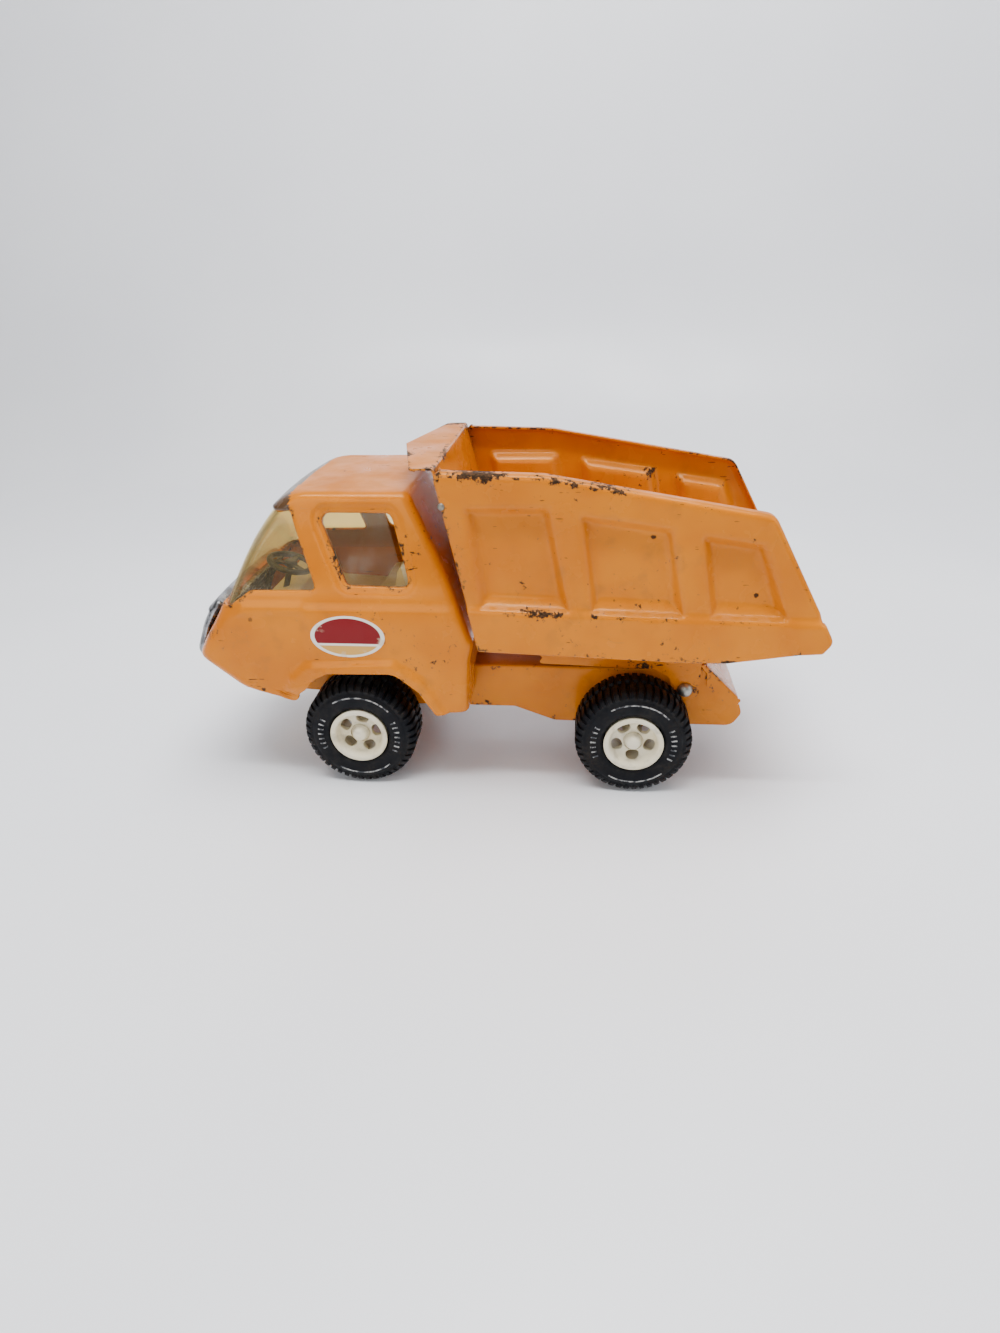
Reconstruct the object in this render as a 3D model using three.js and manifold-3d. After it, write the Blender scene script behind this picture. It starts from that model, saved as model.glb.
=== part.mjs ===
// A pressed-steel toy dump truck with a cab over its front axle and a bed that tips on a rear hinge.
// Millimetres, +Z up. The front faces -X and the truck's left side faces -Y. The ground is Z = 0.
// Lengths along X are measured from the front axle, and the whole group is then moved by FRONT_AXLE_X,
// which puts the origin on the ground at the middle of the truck's length and width.
import * as THREE from "three";
import { mergeVertices } from "three/addons/utils/BufferGeometryUtils.js";
import Module from "manifold-3d";

const wasm = await Module();
wasm.setup();

// Driving dimensions
const NOSE_X = -89.6; // foremost point of the grille
const BED_END_X = 234.95; // rearmost point of the bed
const FRONT_AXLE_X = -(NOSE_X + BED_END_X) / 2; // the front axle's place in the finished frame
const WHEELBASE = 146;
const TYRE_R = 30.5;
const TYRE_W = 27;
const TYRE_FACE_Y = 55.5; // outer face of each tyre
const SHEET = 0.9; // thickness of the pressed steel
const GAP = 0.3; // clearance between separate pieces

const AXLE_R = 2;
const AXLE_HALF = 52.5;
const BORE_R = AXLE_R + GAP;
const HUB_R = 15.7; // flange of the wheel hub
const HUB_BARREL_R = 14.3;

const RAIL_Y = 27; // outer face of the chassis sides
const DECK_Z = 61;
const HINGE_X = 173.5;
const HINGE_Z = 50;
const PIN_R = 2.4;

const STEERING_AT = [-37.4, -20, 115.6]; // middle of the steering wheel
const STEERING_LEAN = 18;
const COLUMN_R = 1.6;

const BED_HALF = 60; // outer face of the bed's ribs
const BAND_OUT = 2; // how far the bed's lower band stands out of its ribs
const PANEL_DEPTH = 4.5;
const RIM_TURN = 5.5; // width of the rim turned in along the top of the bed's sides

const PAINT = { color: 0xd9791a, roughness: 0.38, metalness: 0.1 };
const CHROME = { color: 0x9a9a9c, roughness: 0.25, metalness: 1 };
const STEEL = { color: 0xa8a8a4, roughness: 0.35, metalness: 1 };
const RUBBER = { color: 0x14161a, roughness: 0.75, metalness: 0 };
const CREAM = { color: 0xe6dec0, roughness: 0.5, metalness: 0 };
const AMBER = { color: 0xc79a30, roughness: 0.1, metalness: 0, transparent: true, opacity: 0.45 };
const DARK_PLASTIC = { color: 0x2c3638, roughness: 0.5, metalness: 0 };
const LABEL = { color: 0xe9e2cf, roughness: 0.4, metalness: 0 };

// Solids ------------------------------------------------------------------------------------------

function solid(geometry) {
  const bare = geometry.clone();
  bare.deleteAttribute("normal");
  bare.deleteAttribute("uv");
  const merged = mergeVertices(bare, 1e-4);
  const triVerts = new Uint32Array(merged.index.array);
  return new wasm.Manifold(
    new wasm.Mesh({ numProp: 3, vertProperties: merged.attributes.position.array, triVerts }),
  );
}

function geometryOf(manifold) {
  const mesh = manifold.getMesh();
  const geometry = new THREE.BufferGeometry();
  geometry.setAttribute("position", new THREE.BufferAttribute(mesh.vertProperties, 3));
  geometry.setIndex(new THREE.BufferAttribute(mesh.triVerts, 1));
  return geometry;
}

const join = (solids) => solids.reduce((sum, next) => sum.add(next));

const cut = (body, cutters) => cutters.reduce((rest, next) => rest.subtract(next), body);

function box(x0, x1, y0, y1, z0, z1) {
  const geometry = new THREE.BoxGeometry(x1 - x0, y1 - y0, z1 - z0);
  return solid(geometry.translate((x0 + x1) / 2, (y0 + y1) / 2, (z0 + z1) / 2));
}

// A polygon with round corners: each point is [u, v] or [u, v, radius].
function roundShape(points, arcSteps = 3) {
  const outline = [];
  points.forEach(([u, v, radius = 0], i) => {
    const at = new THREE.Vector2(u, v);
    if (!radius) {
      outline.push(at);
      return;
    }
    const before = new THREE.Vector2(...points[(i + points.length - 1) % points.length]);
    const after = new THREE.Vector2(...points[(i + 1) % points.length]);
    const into = before.clone().sub(at).normalize();
    const out = after.clone().sub(at).normalize();
    const half = Math.acos(THREE.MathUtils.clamp(into.dot(out), -1, 1)) / 2;
    const reach = radius / Math.tan(half);
    const curve = new THREE.QuadraticBezierCurve(
      at.clone().addScaledVector(into, reach),
      at,
      at.clone().addScaledVector(out, reach),
    );
    outline.push(...curve.getPoints(arcSteps));
  });
  return new THREE.Shape(outline);
}

// A side-view outline of [x, z] points, extruded across the truck from y0 to y1.
function slab(points, y0, y1, arcSteps = 3) {
  const geometry = new THREE.ExtrudeGeometry(roundShape(points, arcSteps), {
    depth: y1 - y0,
    bevelEnabled: false,
  });
  return solid(geometry.rotateX(Math.PI / 2).translate(0, y1, 0));
}

// A plan-view outline of [x, y] points, extruded upwards from z0 to z1.
function plate(points, z0, z1) {
  const geometry = new THREE.ExtrudeGeometry(roundShape(points), {
    depth: z1 - z0,
    bevelEnabled: false,
  });
  return solid(geometry.translate(0, 0, z0));
}

// A closed solid through rings of equal length, listed from the bottom up, each turning anticlockwise.
function loft(rings) {
  const count = rings[0].length;
  const positions = rings.flat().flatMap((p) => [p.x, p.y, p.z]);
  const faces = [];
  for (let level = 0; level < rings.length - 1; level++) {
    for (let i = 0; i < count; i++) {
      const a = level * count + i;
      const b = level * count + ((i + 1) % count);
      faces.push(a, b, b + count, a, b + count, a + count);
    }
  }
  const top = (rings.length - 1) * count;
  for (let i = 1; i < count - 1; i++) {
    faces.push(0, i + 1, i);
    faces.push(top, top + i, top + i + 1);
  }
  const geometry = new THREE.BufferGeometry();
  geometry.setAttribute("position", new THREE.Float32BufferAttribute(positions, 3));
  geometry.setIndex(faces);
  return solid(geometry);
}

// The solid between an outline at y0 and a matching one at y1, both of [x, z] points, with y0 < y1.
function taper(outline0, y0, outline1, y1) {
  const ring = (outline, y) => outline.map(([x, z]) => new THREE.Vector3(x, y, z));
  const area = THREE.ShapeUtils.area(outline0.map(([x, z]) => new THREE.Vector2(x, z)));
  const rings = [ring(outline0, y0), ring(outline1, y1)];
  return loft(area < 0 ? rings : rings.map((points) => points.reverse()));
}

function cylinderY(radius, y0, y1, x, z, sides = 24) {
  const geometry = new THREE.CylinderGeometry(radius, radius, y1 - y0, sides);
  return solid(geometry.translate(x, (y0 + y1) / 2, z));
}

// A profile of [radius, y] points turned about the Y axis.
function turned(profile, sides) {
  const points = profile.map(([radius, y]) => new THREE.Vector2(radius, y));
  return solid(new THREE.LatheGeometry(points, sides));
}

const mirrored = (part) => part.mirror([0, 1, 0]);

// The assembly ------------------------------------------------------------------------------------

const truck = new THREE.Group();
truck.position.x = FRONT_AXLE_X;

function add(name, body, look, x = 0, z = 0) {
  const mesh = new THREE.Mesh(geometryOf(body), new THREE.MeshStandardMaterial(look));
  mesh.name = name;
  mesh.position.set(x, 0, z);
  truck.add(mesh);
}

// The cab's form ----------------------------------------------------------------------------------
// Each row: height, foremost x on the centre line, rear x, half width.
const CAB_FORM = [
  [44, -42, 60, 55.2],
  [53.5, -47, 60.4, 55.8],
  [58, -64, 60.6, 56.2],
  [76, -84.2, 61.8, 57],
  [85, -79.3, 64, 57],
  [98, -70.5, 59.6, 56.9],
  [107, -65.8, 56.5, 55.6],
  [117, -61, 53, 53],
  [128, -55, 48.2, 50.8],
  [137, -49.5, 44, 49],
  [145, -43.5, 40.4, 47.4],
  [152, -37.5, 37.1, 45.9],
  [157, -31, 34.8, 44.9],
  [159.5, -26.3, 33.6, 43.4],
];
const CAB_TOP = CAB_FORM[CAB_FORM.length - 1][0];
const CAB_BOTTOM = CAB_FORM[0][0];
const NOSE_BULGE = 3; // how far the front bows forward between its corners
const NOSE_CORNER = 9;
const REAR_CORNER = 4;

function cabRow(z) {
  const above = Math.max(1, CAB_FORM.findIndex((row) => row[0] >= z));
  const [low, high] = [CAB_FORM[above - 1], CAB_FORM[above]];
  const share = (z - low[0]) / (high[0] - low[0]);
  return low.map((value, i) => value + (high[i] - value) * share);
}

// One plan outline of the cab, all of it moved inwards by inset.
function cabRing(z, inset = 0, shape = {}) {
  const row = cabRow(z);
  const front = (shape.front ?? row[1]) + 1.2 * inset;
  const rear = (shape.rear ?? row[2]) - 1.1 * inset;
  const half = (shape.half ?? row[3]) - inset;
  const corner = Math.max(2, NOSE_CORNER - inset);
  const back = Math.max(1.5, REAR_CORNER - inset);
  const straight = half - corner;
  const bow = (y) => front + NOSE_BULGE * (y / half) ** 2;
  const points = [];
  for (const y of [0, 0.35, 0.7, 1]) points.push([bow(y * straight), -y * straight]);
  for (const turn of [30, 60, 90]) {
    const t = THREE.MathUtils.degToRad(turn);
    points.push([bow(straight) + corner * (1 - Math.cos(t)), -straight - corner * Math.sin(t)]);
  }
  for (const turn of [90, 45, 0]) {
    const t = THREE.MathUtils.degToRad(turn);
    points.push([rear - back * (1 - Math.cos(t)), -half + back * (1 - Math.sin(t))]);
  }
  const left = points.map(([x, y]) => new THREE.Vector3(x, y, z));
  const right = left.slice(1).map((p) => new THREE.Vector3(p.x, -p.y, z));
  return [...left, ...right.reverse()];
}

function cabSolid(inset, bottom, top) {
  const heights = CAB_FORM.map((row) => row[0]).filter((z) => z > bottom + 1 && z < top - 1);
  return loft([bottom, ...heights, top].map((z) => cabRing(z, inset)));
}

const SIDE_WINDOW = [
  [-10.8, 150.2, 3.5],
  [26, 150, 3.5],
  [33.4, 115.2, 3.5],
  [1.5, 115.8, 3.5],
];
// The windscreen opening in side view: it wraps round both front corners as far as the pillars.
const WINDSCREEN = [
  [-90, 104.5],
  [-57, 106],
  [-48, 112.8, 2],
  [-13.8, 113.2, 2],
  [-23.8, 151, 1.5],
  [-90, 151],
];
const CAB_UNDERSIDE = [
  [-100, 40],
  [-100, 56],
  [-53, 57.9],
  [-36, 53.5],
  [-30, 51],
  [-19, 66, 5],
  [-11, 69.5, 4],
  [23, 70.2, 9],
  [35, 60, 6],
  [43.5, 45.5, 2],
  [62, 47.5],
  [72, 47.5],
  [72, 40],
];

// The raised band pressed into each side round the wheel arch, and the bar under the front quarter.
const ARCH_BAND = [
  [-38.5, 50],
  [-30.5, 64, 4],
  [-19, 74.5, 6],
  [23, 77.6, 10],
  [38.5, 67, 6],
  [49.5, 46.5],
  [43.5, 40],
  [-38.5, 40],
];
const BELT_BAR = [
  [-52, 100.2, 1.5],
  [-21, 101.6, 1.5],
  [-21, 107.2, 1.5],
  [-50, 106.8, 1.5],
];
const BAND_PROUD = 1;
const BAR_PROUD = 0.6;

// A layer on the cab's sides within an outline, standing proud of the sheet and rooted in it.
function raised(outline, proud) {
  const layer = cut(cabSolid(-proud, 44, 125), [cabSolid(SHEET / 2, 43, 126)]);
  return layer.intersect(slab(outline, -70, 70)).subtract(box(-100, 100, -48, 48, 30, 130));
}

// Grille: a plated moulding that fills the nose opening and wraps under the chin.
const GRILLE_HALF = 46.5;
const GRILLE_ROWS = [
  [60, -67],
  [66, -76],
  [74, -85.6],
  [90, -79],
  [100, -73],
  [104, -68.5],
];
const GRILLE_DEPTH = 13;
const GRILLE_CORNER_Z = 104;

function grilleBlock(grow) {
  const rows = GRILLE_ROWS.map(([z, front], i) => {
    const lift = i === 0 ? -grow : i === GRILLE_ROWS.length - 1 ? grow : 0;
    return cabRing(z, 0, {
      front: front - 4 - grow,
      rear: front + GRILLE_DEPTH + grow,
      half: GRILLE_HALF + grow,
    }).map((p) => p.setZ(z + lift));
  });
  return loft(rows);
}

function makeCab() {
  const wallTop = CAB_TOP - SHEET;
  const skin = cut(cabSolid(0, CAB_BOTTOM, CAB_TOP), [cabSolid(SHEET, CAB_BOTTOM, wallTop)]);
  const pressed = join([skin, raised(ARCH_BAND, BAND_PROUD), raised(BELT_BAR, BAR_PROUD)]);
  const shell = cut(pressed, [
    slab(CAB_UNDERSIDE, -70, 70),
    slab(SIDE_WINDOW, -70, 70),
    cut(slab(WINDSCREEN, -70, 70), [box(-14, 80, -80, 80, 80, 170)]),
    grilleBlock(GAP),
    box(50, 75, -RAIL_Y - GAP, RAIL_Y + GAP, 30, DECK_Z + GAP),
  ]);
  // A shelf folded in from the rear wall carries the cab on the chassis deck.
  const shelf = cut(box(44, 61.2, -33, 33, DECK_Z + GAP, DECK_Z + GAP + SHEET), [
    cylinderZ(PIN_R - 0.6, 60, 64, 50, -16),
    cylinderZ(PIN_R - 0.6, 60, 64, 50, 16),
  ]);
  add("cab_shell", shell.add(shelf), PAINT);
}

function cylinderZ(radius, z0, z1, x, y, sides = 16) {
  const geometry = new THREE.CylinderGeometry(radius, radius, z1 - z0, sides);
  return solid(geometry.rotateX(Math.PI / 2).translate(x, y, (z0 + z1) / 2));
}

function makeGlass() {
  const outer = cabSolid(SHEET + 0.4, 99, 154);
  const inner = cabSolid(SHEET + 1.4, 98, 155);
  const hollow = cut(outer, [inner, box(38, 80, -80, 80, 90, 170), grilleBlock(2 * GAP)]);
  add("cab_glass", hollow, AMBER);
}

function makeGrille() {
  const lean = Math.atan2(16.5, 28);
  // Details are drawn on an upright plane, then leaned back on the face of the block.
  const onFace = (part) => part.rotate([0, THREE.MathUtils.radToDeg(lean), 0]).translate([-82.6, 0, 88]);
  const recess = onFace(box(-10, 4.6, -38, 38, -10.5, 8.5));
  const bars = [-7.5, -4, -0.5, 3, 6.5].map((z) => onFace(box(1.8, 6, -38.5, 38.5, z - 0.8, z + 0.8)));
  const lamps = [-30, -19, 19, 30].map((y) => {
    const lens = new THREE.CylinderGeometry(5, 5, 6, 20).rotateZ(Math.PI / 2);
    return onFace(solid(lens.translate(2.8, y, -1)));
  });
  const pocket = grilleBlock(-2).translate([7, 0, 0]);
  const body = cut(grilleBlock(0), [recess, slot(), pocket]);
  add("grille", join([body, ...bars, ...lamps]), CHROME);
}

// The groove that parts the grille's top trim from its face, run round both sides.
function slot() {
  const groove = box(-100, -50, -60, 60, 96.2, 97.4);
  return cut(groove, [box(-100, -50, -GRILLE_HALF + 0.8, GRILLE_HALF - 0.8, 90, 100)]);
}

function makeInterior() {
  const profile = [
    [-52, 84],
    [-52, 99, 2],
    [-40, 103, 2],
    [-34, 101, 2],
    [-30, 86, 2],
    [2, 84, 2],
    [5, 95, 3],
    [22, 94, 3],
    [27, 122, 3],
    [33, 124, 3],
    [38, 100, 2],
    [41, 84],
    [41, 81.5],
    [-52, 81.5],
  ];
  const tray = slab(profile, -46, 46, 2);
  const under = [
    [-50, 81],
    [-50, 97.4],
    [-40.3, 100.8],
    [-35.7, 99.4],
    [-31.8, 84],
    [-31.8, 81],
  ];
  const underBench = [
    [7.4, 81],
    [7.4, 92.7],
    [23.9, 91.9],
    [28.9, 120.2],
    [31.4, 121],
    [36, 99.6],
    [38.8, 83],
    [38.8, 81],
  ];
  const hollows = [under, underBench].map((outline) => slab(outline, -44, 44));
  const columnHole = steeringPlace(columnRod(COLUMN_R + GAP, 30));
  add("cab_interior", cut(tray, [...hollows, columnHole]), CREAM);
}

const steeringPlace = (part) => part.rotate([0, STEERING_LEAN, 0]).translate(STEERING_AT);

const columnRod = (radius, length) => cylinderZ(radius, -length, 0, 0, 0, 12);

function makeSteering() {
  const rim = new THREE.TorusGeometry(11, 1.7, 8, 20);
  const spoke = (turn) => new THREE.BoxGeometry(21.5, 2.4, 1.6).rotateZ(turn);
  const hub = new THREE.CylinderGeometry(3, 3, 3, 16).rotateX(Math.PI / 2);
  const wheel = join([
    solid(rim),
    solid(spoke(0)),
    solid(spoke(Math.PI / 2)),
    solid(hub),
    columnRod(COLUMN_R, 16),
  ]);
  add("steering_wheel", steeringPlace(wheel), DARK_PLASTIC);
}

// Chassis -----------------------------------------------------------------------------------------

const RAIL_OUTLINE = [
  [-52, DECK_Z],
  [-52, 44],
  [-18, 42],
  [-12, 25, 4],
  [12, 25, 4],
  [20, 35.7],
  [82, 35.7, 4],
  [104, 27.5, 6],
  [136, 27.2],
  [140, 24.5, 2],
  [152, 24.5, 2],
  [156, 27.2],
  [200.5, 27.2, 6],
  [205, 35, 4],
  [203, 41.4],
  [182, 62.3],
  [180, DECK_Z],
];

function makeChassis() {
  const block = slab(RAIL_OUTLINE, -RAIL_Y, RAIL_Y);
  const inside = RAIL_OUTLINE.map(([x, z, radius]) => [x, z >= 60 ? z - SHEET * 1.4 : z, radius]);
  const room = slab(inside, -RAIL_Y + SHEET, RAIL_Y - SHEET);
  const openBelow = box(-70, 215, -RAIL_Y + SHEET, RAIL_Y - SHEET, 10, 46);
  const openEnd = box(183, 215, -RAIL_Y + SHEET, RAIL_Y - SHEET, 10, 70);
  const bores = [
    cylinderY(BORE_R, -40, 40, 0, TYRE_R),
    cylinderY(BORE_R, -40, 40, WHEELBASE, TYRE_R),
    cylinderY(PIN_R + GAP, -40, 40, HINGE_X, HINGE_Z),
  ];
  const rivetHoles = [-16, 16].map((y) => cylinderZ(PIN_R - 0.6, 50, 70, 50, y));
  add("chassis_frame", cut(block, [room, openBelow, openEnd, ...bores, ...rivetHoles]), PAINT);
}

// The sloping cover of the tail, with a flange down each side of the chassis.
function makeTailCover() {
  const slope = [
    [181.5, 63.4],
    [202.9, 42.1],
    [203.9, 43],
    [182.4, 64.6],
  ];
  const flange = [
    [181.5, 63.4],
    [182.4, 64.6],
    [203.9, 43],
    [201.5, 40, 1.5],
    [197.2, 38.6, 2],
    [185, 51.5, 2],
    [182.2, 60],
  ];
  const y = RAIL_Y + GAP;
  const side = slab(flange, y, y + 0.9, 2);
  add("tail_cover", join([slab(slope, -y - 0.5, y + 0.5), side, mirrored(side)]), PAINT);
}

function makeRunningGear() {
  for (const [end, x] of [["front", 0], ["rear", WHEELBASE]]) {
    add(`${end}_axle`, cylinderY(AXLE_R, -AXLE_HALF, AXLE_HALF, 0, 0, 16), STEEL, x, TYRE_R);
    for (const side of ["left", "right"]) {
      const turn = (part) => (side === "left" ? part : mirrored(part));
      add(`hub_${end}_${side}`, turn(hub()), CREAM, x, TYRE_R);
      add(`tyre_${end}_${side}`, turn(tyre()), RUBBER, x, TYRE_R);
    }
  }
}

function tyre() {
  const face = -TYRE_FACE_Y;
  const inner = face + TYRE_W;
  const bead = HUB_BARREL_R + GAP;
  const profile = [
    [bead, face + 2.2],
    [HUB_R + 1.2, face + 0.4],
    [22, face],
    [27.2, face + 1.8],
    [29.6, face + 4.2],
    [TYRE_R, face + 7.5],
    [TYRE_R, inner - 7.5],
    [29.6, inner - 4.2],
    [27.2, inner - 1.8],
    [22, inner],
    [bead, inner - 2.2],
    [bead, face + 2.2],
  ];
  return turned(profile, 32);
}

function hub() {
  const face = -TYRE_FACE_Y;
  const profile = [
    [0, face + 1.2],
    [3.6, face + 1.2],
    [4.6, face + 3.4],
    [10.8, face + 3.6],
    [12.6, face + 0.6],
    [14, face - 0.6],
    [HUB_R, face],
    [HUB_BARREL_R, face + 1.5],
    [HUB_BARREL_R, face + TYRE_W - 3],
    [13.1, face + TYRE_W - 3],
    [13.1, face + 6],
    [6, face + 5.4],
    [5.2, face + TYRE_W - 2.6],
    [BORE_R, face + TYRE_W - 2.6],
    [BORE_R, face + 2.6],
    [0, face + 2.6],
  ];
  const windows = [0, 1, 2, 3, 4].map((i) => {
    const middle = ((i + 0.25) / 5) * 360;
    return cylinderY(2.5, face - 3, face + 9, 8.6, 0, 8).rotate([0, middle, 0]);
  });
  return cut(turned(profile, 20), windows);
}

// Dump bed ----------------------------------------------------------------------------------------

const BED_OUTLINE = [
  [48.7, 173],
  [99.2, 171.3, 20],
  [202, 153.4, 6],
  [235.5, 93.5, 3],
  [231, 87.4, 2],
  [219.8, 86.6],
  [187.7, 81.6],
  [168.7, 81.2],
  [69.6, 85],
  [66.5, 88],
];
const RIM_PATH = BED_OUTLINE.slice(0, 4);
const LEDGE = [
  [44, 106.7],
  [250, 101.2],
];
// Recessed panels: outline on the rib face, top front, top rear, bottom rear, bottom front.
const PANELS = [
  [[62, 157], [102, 157], [111.5, 110.3], [69, 110.8]],
  [[115, 154], [158, 147.8], [165.5, 108.3], [122, 109.8]],
  [[170, 145], [199, 140.6], [213.5, 105.8], [178, 107.9]],
];

// The outline moved towards its own middle, corner by corner, along both of its edges there.
function shrunk(outline, by) {
  const at = outline.map(([x, z]) => new THREE.Vector2(x, z));
  return at.map((p, i) => {
    const into = at[(i + at.length - 1) % at.length].clone().sub(p).normalize();
    const out = at[(i + 1) % at.length].clone().sub(p).normalize();
    const sine = Math.abs(into.cross(out));
    const moved = p.clone().addScaledVector(into, by / sine).addScaledVector(out, by / sine);
    return [moved.x, moved.y];
  });
}

function bedSide() {
  const face = -BED_HALF;
  const band = -BED_HALF - BAND_OUT;
  const below = [...LEDGE.map(([x, z]) => [x, z]), [250, 70], [44, 70]];
  const above = [...LEDGE.map(([x, z]) => [x, z + BAND_OUT]), [250, 190], [44, 190]];
  const wall = slab(BED_OUTLINE, face, face + SHEET).intersect(slab(above, -70, 0));
  const lower = slab(BED_OUTLINE, band, band + SHEET).intersect(slab(below, -70, 0));
  // The sloping step between the lower band and the ribs.
  const step = (y) => {
    const [[x0, z0], [x1, z1]] = LEDGE;
    const strip = (lift) => [
      [x0, z0 + lift],
      [x1, z1 + lift],
      [x1, z1 + lift - 1.5],
      [x0, z0 + lift - 1.5],
    ];
    return taper(strip(0), y, strip(BAND_OUT + SHEET), y + BAND_OUT + SHEET);
  };
  const ledge = step(band).intersect(slab(BED_OUTLINE, -70, 0));
  const trays = PANELS.map((panel) => taper(panel, face, shrunk(panel, 4), face + PANEL_DEPTH));
  const lining = PANELS.map((panel) => {
    const foot = shrunk(panel, -1);
    return taper(foot, face + 0.2, shrunk(foot, 4.1), face + PANEL_DEPTH + SHEET);
  });
  return cut(join([wall, lower, ledge, rim(), ...lining]), trays);
}

// The rim turned in along the top and rear edges of a side.
function rim() {
  const inner = BED_OUTLINE.map(([x, z, radius]) => [x, z, radius]);
  const centre = new THREE.Vector2(140, 110);
  const moved = inner.map(([x, z, radius], i) => {
    if (i > 3) return [x, z, radius];
    const push = [[0, -1.1], [-0.3, -1.1], [-1, -1], [-1.5, -0.4]][i];
    return [x + push[0] * SHEET, z + push[1] * SHEET, radius];
  });
  const hollow = slab(moved, -70, 0, 3);
  const ring = slab(BED_OUTLINE, -BED_HALF, -BED_HALF + RIM_TURN).subtract(hollow);
  const keep = [[40, 180], [250, 180], [250, 96], [231, 96], [centre.x, centre.y], [40, 160]];
  return ring.intersect(slab(keep, -70, 0));
}

function makeBedSides() {
  const side = bedSide();
  add("bed_side_left", side, PAINT);
  add("bed_side_right", mirrored(side), PAINT);
}

const FLOOR_LINE = [
  [71.3, 86],
  [168.7, 82.3],
  [187.7, 82.7],
  [219.8, 87.7],
  [231, 88.6],
];

function makeFloor() {
  const half = BED_HALF + BAND_OUT - SHEET - GAP;
  const section = [...FLOOR_LINE, ...FLOOR_LINE.map(([x, z]) => [x, z + SHEET]).reverse()];
  const flange = [...FLOOR_LINE, ...FLOOR_LINE.map(([x, z]) => [x, z + 7]).reverse()];
  const upstand = slab(flange, -half, -half + SHEET);
  add("bed_floor", join([slab(section, -half, half), upstand, mirrored(upstand)]), PAINT);
}

const BULKHEAD_TOP = [49.2, 173.3];
const BULKHEAD_FOOT = [68.4, 87.6];
const VISOR = [
  [51, -58],
  [39.5, -58],
  [37.5, -56],
  [25.6, 0],
  [37.5, 56],
  [39.5, 58],
  [51, 58],
];

function makeFrontPanel() {
  const half = BED_HALF - SHEET - GAP;
  const [topX, topZ] = BULKHEAD_TOP;
  const [footX, footZ] = BULKHEAD_FOOT;
  const wall = slab(
    [[topX, topZ], [footX, footZ], [footX + SHEET, footZ], [topX + SHEET, topZ]],
    -half,
    half,
  );
  // Flanges folded back along the inside of each side wall, between the front edge and the panels.
  const lean = (footX - topX) / (topZ - footZ);
  const fold = [
    [topX + 3 * lean, topZ - 3],
    [footX - 25 * lean, footZ + 25],
    [footX - 25 * lean + 4, footZ + 25],
    [topX + 3 * lean + 4, topZ - 3],
  ];
  const flange = slab(fold, -half, -half + SHEET);
  const visor = plate(VISOR, topZ, topZ + SHEET);
  const body = cut(join([wall, flange, mirrored(flange)]), rimRoom());
  add("bed_front_panel", body.add(visor), PAINT);
}

// The room that the rims of both sides take in the front panel's top corners.
function rimRoom() {
  const corner = box(44, 60, -BED_HALF - 1, -BED_HALF + RIM_TURN + GAP, 171.2, 173.3);
  return [corner, mirrored(corner)];
}

const BRACKET_Y = RAIL_Y + GAP + 0.9 + GAP; // inner face of the bracket's sides
const BRACKET_OUTLINE = [
  [96, 84.5],
  [96, 63.6],
  [157, 61.6],
  [165, 57, 4],
  [167.5, 43.5, 5],
  [181, 43.5, 6],
  [181, 81.3],
];

function makeBracket() {
  const y = BRACKET_Y + SHEET;
  const block = slab(BRACKET_OUTLINE, -y, y);
  const room = box(96 + SHEET, 190, -BRACKET_Y, BRACKET_Y, 40, 90);
  const web = slab([[96, 83.3], [96, 84.5], [181, 81.3], [181, 80.1]], -y, y);
  const front = box(95, 98, -BRACKET_Y - 0.1, BRACKET_Y + 0.1, 40, DECK_Z + GAP);
  const bore = cylinderY(PIN_R + GAP, -40, 40, HINGE_X, HINGE_Z);
  add("bed_hinge_bracket", cut(block, [room]).add(web).subtract(bore).subtract(front), PAINT);
}

function makeHinge() {
  const reach = BRACKET_Y + SHEET + GAP;
  add("hinge_pin", cylinderY(PIN_R, -reach - 1.2, reach + 1.2, 0, 0, 16), STEEL, HINGE_X, HINGE_Z);
  const dome = [
    [0, -reach - 3.2],
    [1.8, -reach - 2.9],
    [3.3, -reach - 2],
    [4.1, -reach - 0.8],
    [4.1, -reach],
    [PIN_R + GAP, -reach],
    [PIN_R + GAP, -reach - 1.4],
    [0, -reach - 1.5],
  ];
  const cap = turned(dome, 20);
  add("hinge_cap_left", cap, CHROME, HINGE_X, HINGE_Z);
  add("hinge_cap_right", mirrored(cap), CHROME, HINGE_X, HINGE_Z);
}

// Fasteners and labels ----------------------------------------------------------------------------

// A flat-headed rivet on an outer face that looks towards -Y.
const sideRivet = (radius, y, x, z) => cylinderY(radius, y - 0.7, y, x, z, 12);

function makeRivets() {
  const rib = -BED_HALF - 0.1;
  const upper = sideRivet(1.7, rib, 52.6, 157.3);
  add("bed_rivet_upper_left", upper, STEEL);
  add("bed_rivet_upper_right", mirrored(upper), STEEL);
  for (const [side, y] of [["left", -16], ["right", 16]]) {
    const head = cylinderZ(3, DECK_Z + GAP + SHEET + 0.1, DECK_Z + 2.6, 50, y, 12);
    const shank = cylinderZ(PIN_R - 0.95, 57, DECK_Z + 2.2, 50, y, 12);
    add(`cab_rivet_${side}`, head.add(shank), STEEL);
  }
}

function makeDecals() {
  const outline = [];
  for (let i = 0; i < 24; i++) {
    const t = (i / 24) * 2 * Math.PI;
    outline.push([0.9 + 19 * Math.cos(t), 90.1 + 11.2 * Math.sin(t)]);
  }
  const skin = cut(cabSolid(-0.5, 60, 120), [cabSolid(-0.25, 59, 121)]);
  const sticker = skin.intersect(slab(outline, -70, 0));
  add("decal_left", sticker, LABEL);
  add("decal_right", mirrored(sticker), LABEL);
}

makeCab();
makeGlass();
makeGrille();
makeInterior();
makeSteering();
makeChassis();
makeTailCover();
makeRunningGear();
makeBedSides();
makeFloor();
makeFrontPanel();
makeBracket();
makeHinge();
makeRivets();
makeDecals();

export default truck;
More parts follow.
